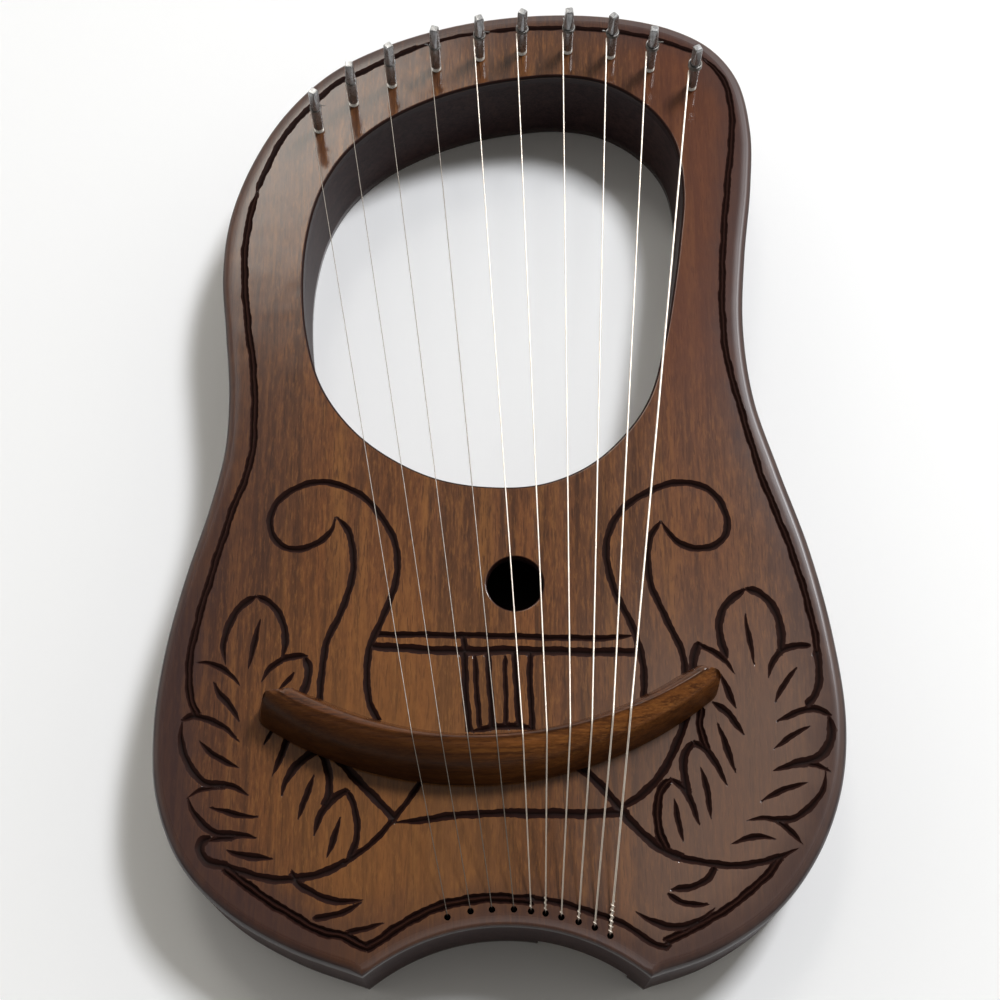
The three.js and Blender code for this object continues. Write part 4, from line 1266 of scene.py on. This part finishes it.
def ball_end(hole):
    """A small barrel with a waist for the string's loop and a bore through it, lying along X."""
    half = BALL_LENGTH / 2
    profile = [
        (0.7, -half + 0.15), (0.85, -half), (BALL_RADIUS - 0.25, -half), (BALL_RADIUS, -half + 0.25),
        (BALL_RADIUS, -0.75), (BALL_RADIUS - 0.5, -0.4), (BALL_RADIUS - 0.5, 0.4), (BALL_RADIUS, 0.75),
        (BALL_RADIUS, half - 0.25), (BALL_RADIUS - 0.25, half), (0.85, half), (0.7, half - 0.15),
    ]
    count = 28
    points = []
    for radius, along in profile:
        for k in range(count):
            a = 2 * math.pi * k / count
            points.append((hole[0] + along, hole[1] + radius * math.cos(a), BALL_Z + radius * math.sin(a)))
    return np.array(points), ring_faces(len(profile), count, True)


def strings_and_pins():
    for number, (pin, ridge_x, hole, diameter) in enumerate(STRINGS, 1):
        wound = number >= FIRST_WOUND
        metal = WOUND_METAL if wound else PLAIN_METAL
        slot = "wound_string" if wound else "plain_string"
        body = f"pin_{number}"

        turn = math.radians(17 + 37 * number)
        piece = mesh_piece(f"nickel_pin_{number}", *tuning_pin(*pin, turn), PIN_METAL, 24)
        finish_piece(piece, body, "pin_steel", f"tuning_pin_{number}")

        piece = mesh_piece(f"wire_turns_{number}", *winding(*pin, diameter, number), CORE_METAL)
        finish_piece(piece, body, slot, f"string_winding_{number}")

        path = string_path(pin, ridge_x, hole, diameter)
        parts = [tube(path, diameter / 2, 12), ball_loop(hole, diameter)]
        if number in TWISTS:
            parts.append(twist(path, diameter, TWISTS[number]))
        piece = mesh_piece(f"wire_{number}", *gathered(parts), metal, 60)
        finish_piece(piece, "body", slot, f"string_{number}")

        piece = mesh_piece(f"brass_ball_{number}", *ball_end(hole), BALL_METAL, 30)
        finish_piece(piece, "body", "ball_brass", f"ball_end_{number}")


def braces():
    for node in ("upper_brace", "bridge_brace"):
        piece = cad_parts[node]
        for slot_ in piece.material_slots:
            slot_.link = "OBJECT"
            slot_.material = BRACE_WOOD


# ---- Floor, light and camera, in metres ----
FLOOR_HALF = 6.0
LAMP_PLACE, LAMP_WATTS, LAMP_COLOUR = (0.94, 1.06, 2.2), 50, (0.98, 1.0, 1.03)
LAMP_SIZE = 0.5
WINDOW_WAY, WINDOW_STRENGTH = (-0.15, 0.56, 0.815), 7.8
SKY_COLOUR = (1.0, 0.967, 0.89, 1)
EYE_PLACE, EYE_TILT, EYE_LENS = (0, -0.2895, 0.728), 21.25, 64.8


def studio():
    size = FLOOR_HALF
    mesh = bpy.data.meshes.new("floor")
    corners = [(-size, -size, 0), (size, -size, 0), (size, size, 0), (-size, size, 0)]
    mesh.from_pydata(corners, [], [(0, 1, 2, 3)])
    mesh.materials.append(floor_finish())
    floor = bpy.data.objects.new("floor", mesh)
    bpy.context.scene.collection.objects.link(floor)

    sky()
    lamp()


def sky():
    """A soft studio: dim overhead, brighter low down, with one soft window high beyond the treble arm."""
    world = bpy.data.worlds.new("studio")
    bpy.context.scene.world = world
    world.use_nodes = True
    nodes, links = world.node_tree.nodes, world.node_tree.links

    def ramp(value, low, high, to_low, to_high):
        made = nodes.new("ShaderNodeMapRange")
        made.interpolation_type = "SMOOTHSTEP"
        links.new(value, made.inputs[0])
        for i, item in enumerate((low, high, to_low, to_high), 1):
            made.inputs[i].default_value = item
        return made.outputs["Result"]

    def combine(operation, a, b):
        made = nodes.new("ShaderNodeMath")
        made.operation = operation
        links.new(a, made.inputs[0])
        links.new(b, made.inputs[1])
        return made.outputs[0]

    way = nodes.new("ShaderNodeTexCoord").outputs["Generated"]
    parts = nodes.new("ShaderNodeSeparateXYZ")
    links.new(way, parts.inputs[0])
    toward = nodes.new("ShaderNodeVectorMath")
    toward.operation = "DOT_PRODUCT"
    links.new(way, toward.inputs[0])
    toward.inputs[1].default_value = Vector(WINDOW_WAY).normalized()
    window = ramp(toward.outputs["Value"], 0.989, 0.9995, 0.0, WINDOW_STRENGTH)
    dim = combine("MULTIPLY", ramp(parts.outputs["Y"], -0.6, 0.25, 0.22, 1.15),
                  ramp(parts.outputs["Z"], 0.3, 0.85, 1.05, 0.2))
    back = nodes["Background"]
    back.inputs["Color"].default_value = SKY_COLOUR
    links.new(combine("ADD", dim, window), back.inputs["Strength"])


def lamp():
    """One square soft box, turned to the object."""
    data = bpy.data.lights.new("lamp", "AREA")
    data.size = LAMP_SIZE
    data.energy = LAMP_WATTS
    data.color = LAMP_COLOUR
    box = bpy.data.objects.new("lamp", data)
    box.location = LAMP_PLACE
    box.rotation_euler = (-Vector(LAMP_PLACE)).to_track_quat("-Z", "Y").to_euler()
    bpy.context.scene.collection.objects.link(box)


def camera():
    data = bpy.data.cameras.new("camera")
    data.lens = EYE_LENS
    eye = bpy.data.objects.new("camera", data)
    eye.location = EYE_PLACE
    eye.rotation_euler = (math.radians(EYE_TILT), 0, 0)
    bpy.context.scene.collection.objects.link(eye)
    bpy.context.scene.camera = eye
    bpy.context.scene.view_settings.view_transform = "Standard"


camera()
studio()
soundboard()
back_plate()
core_pieces()
bridge()
braces()
strings_and_pins()
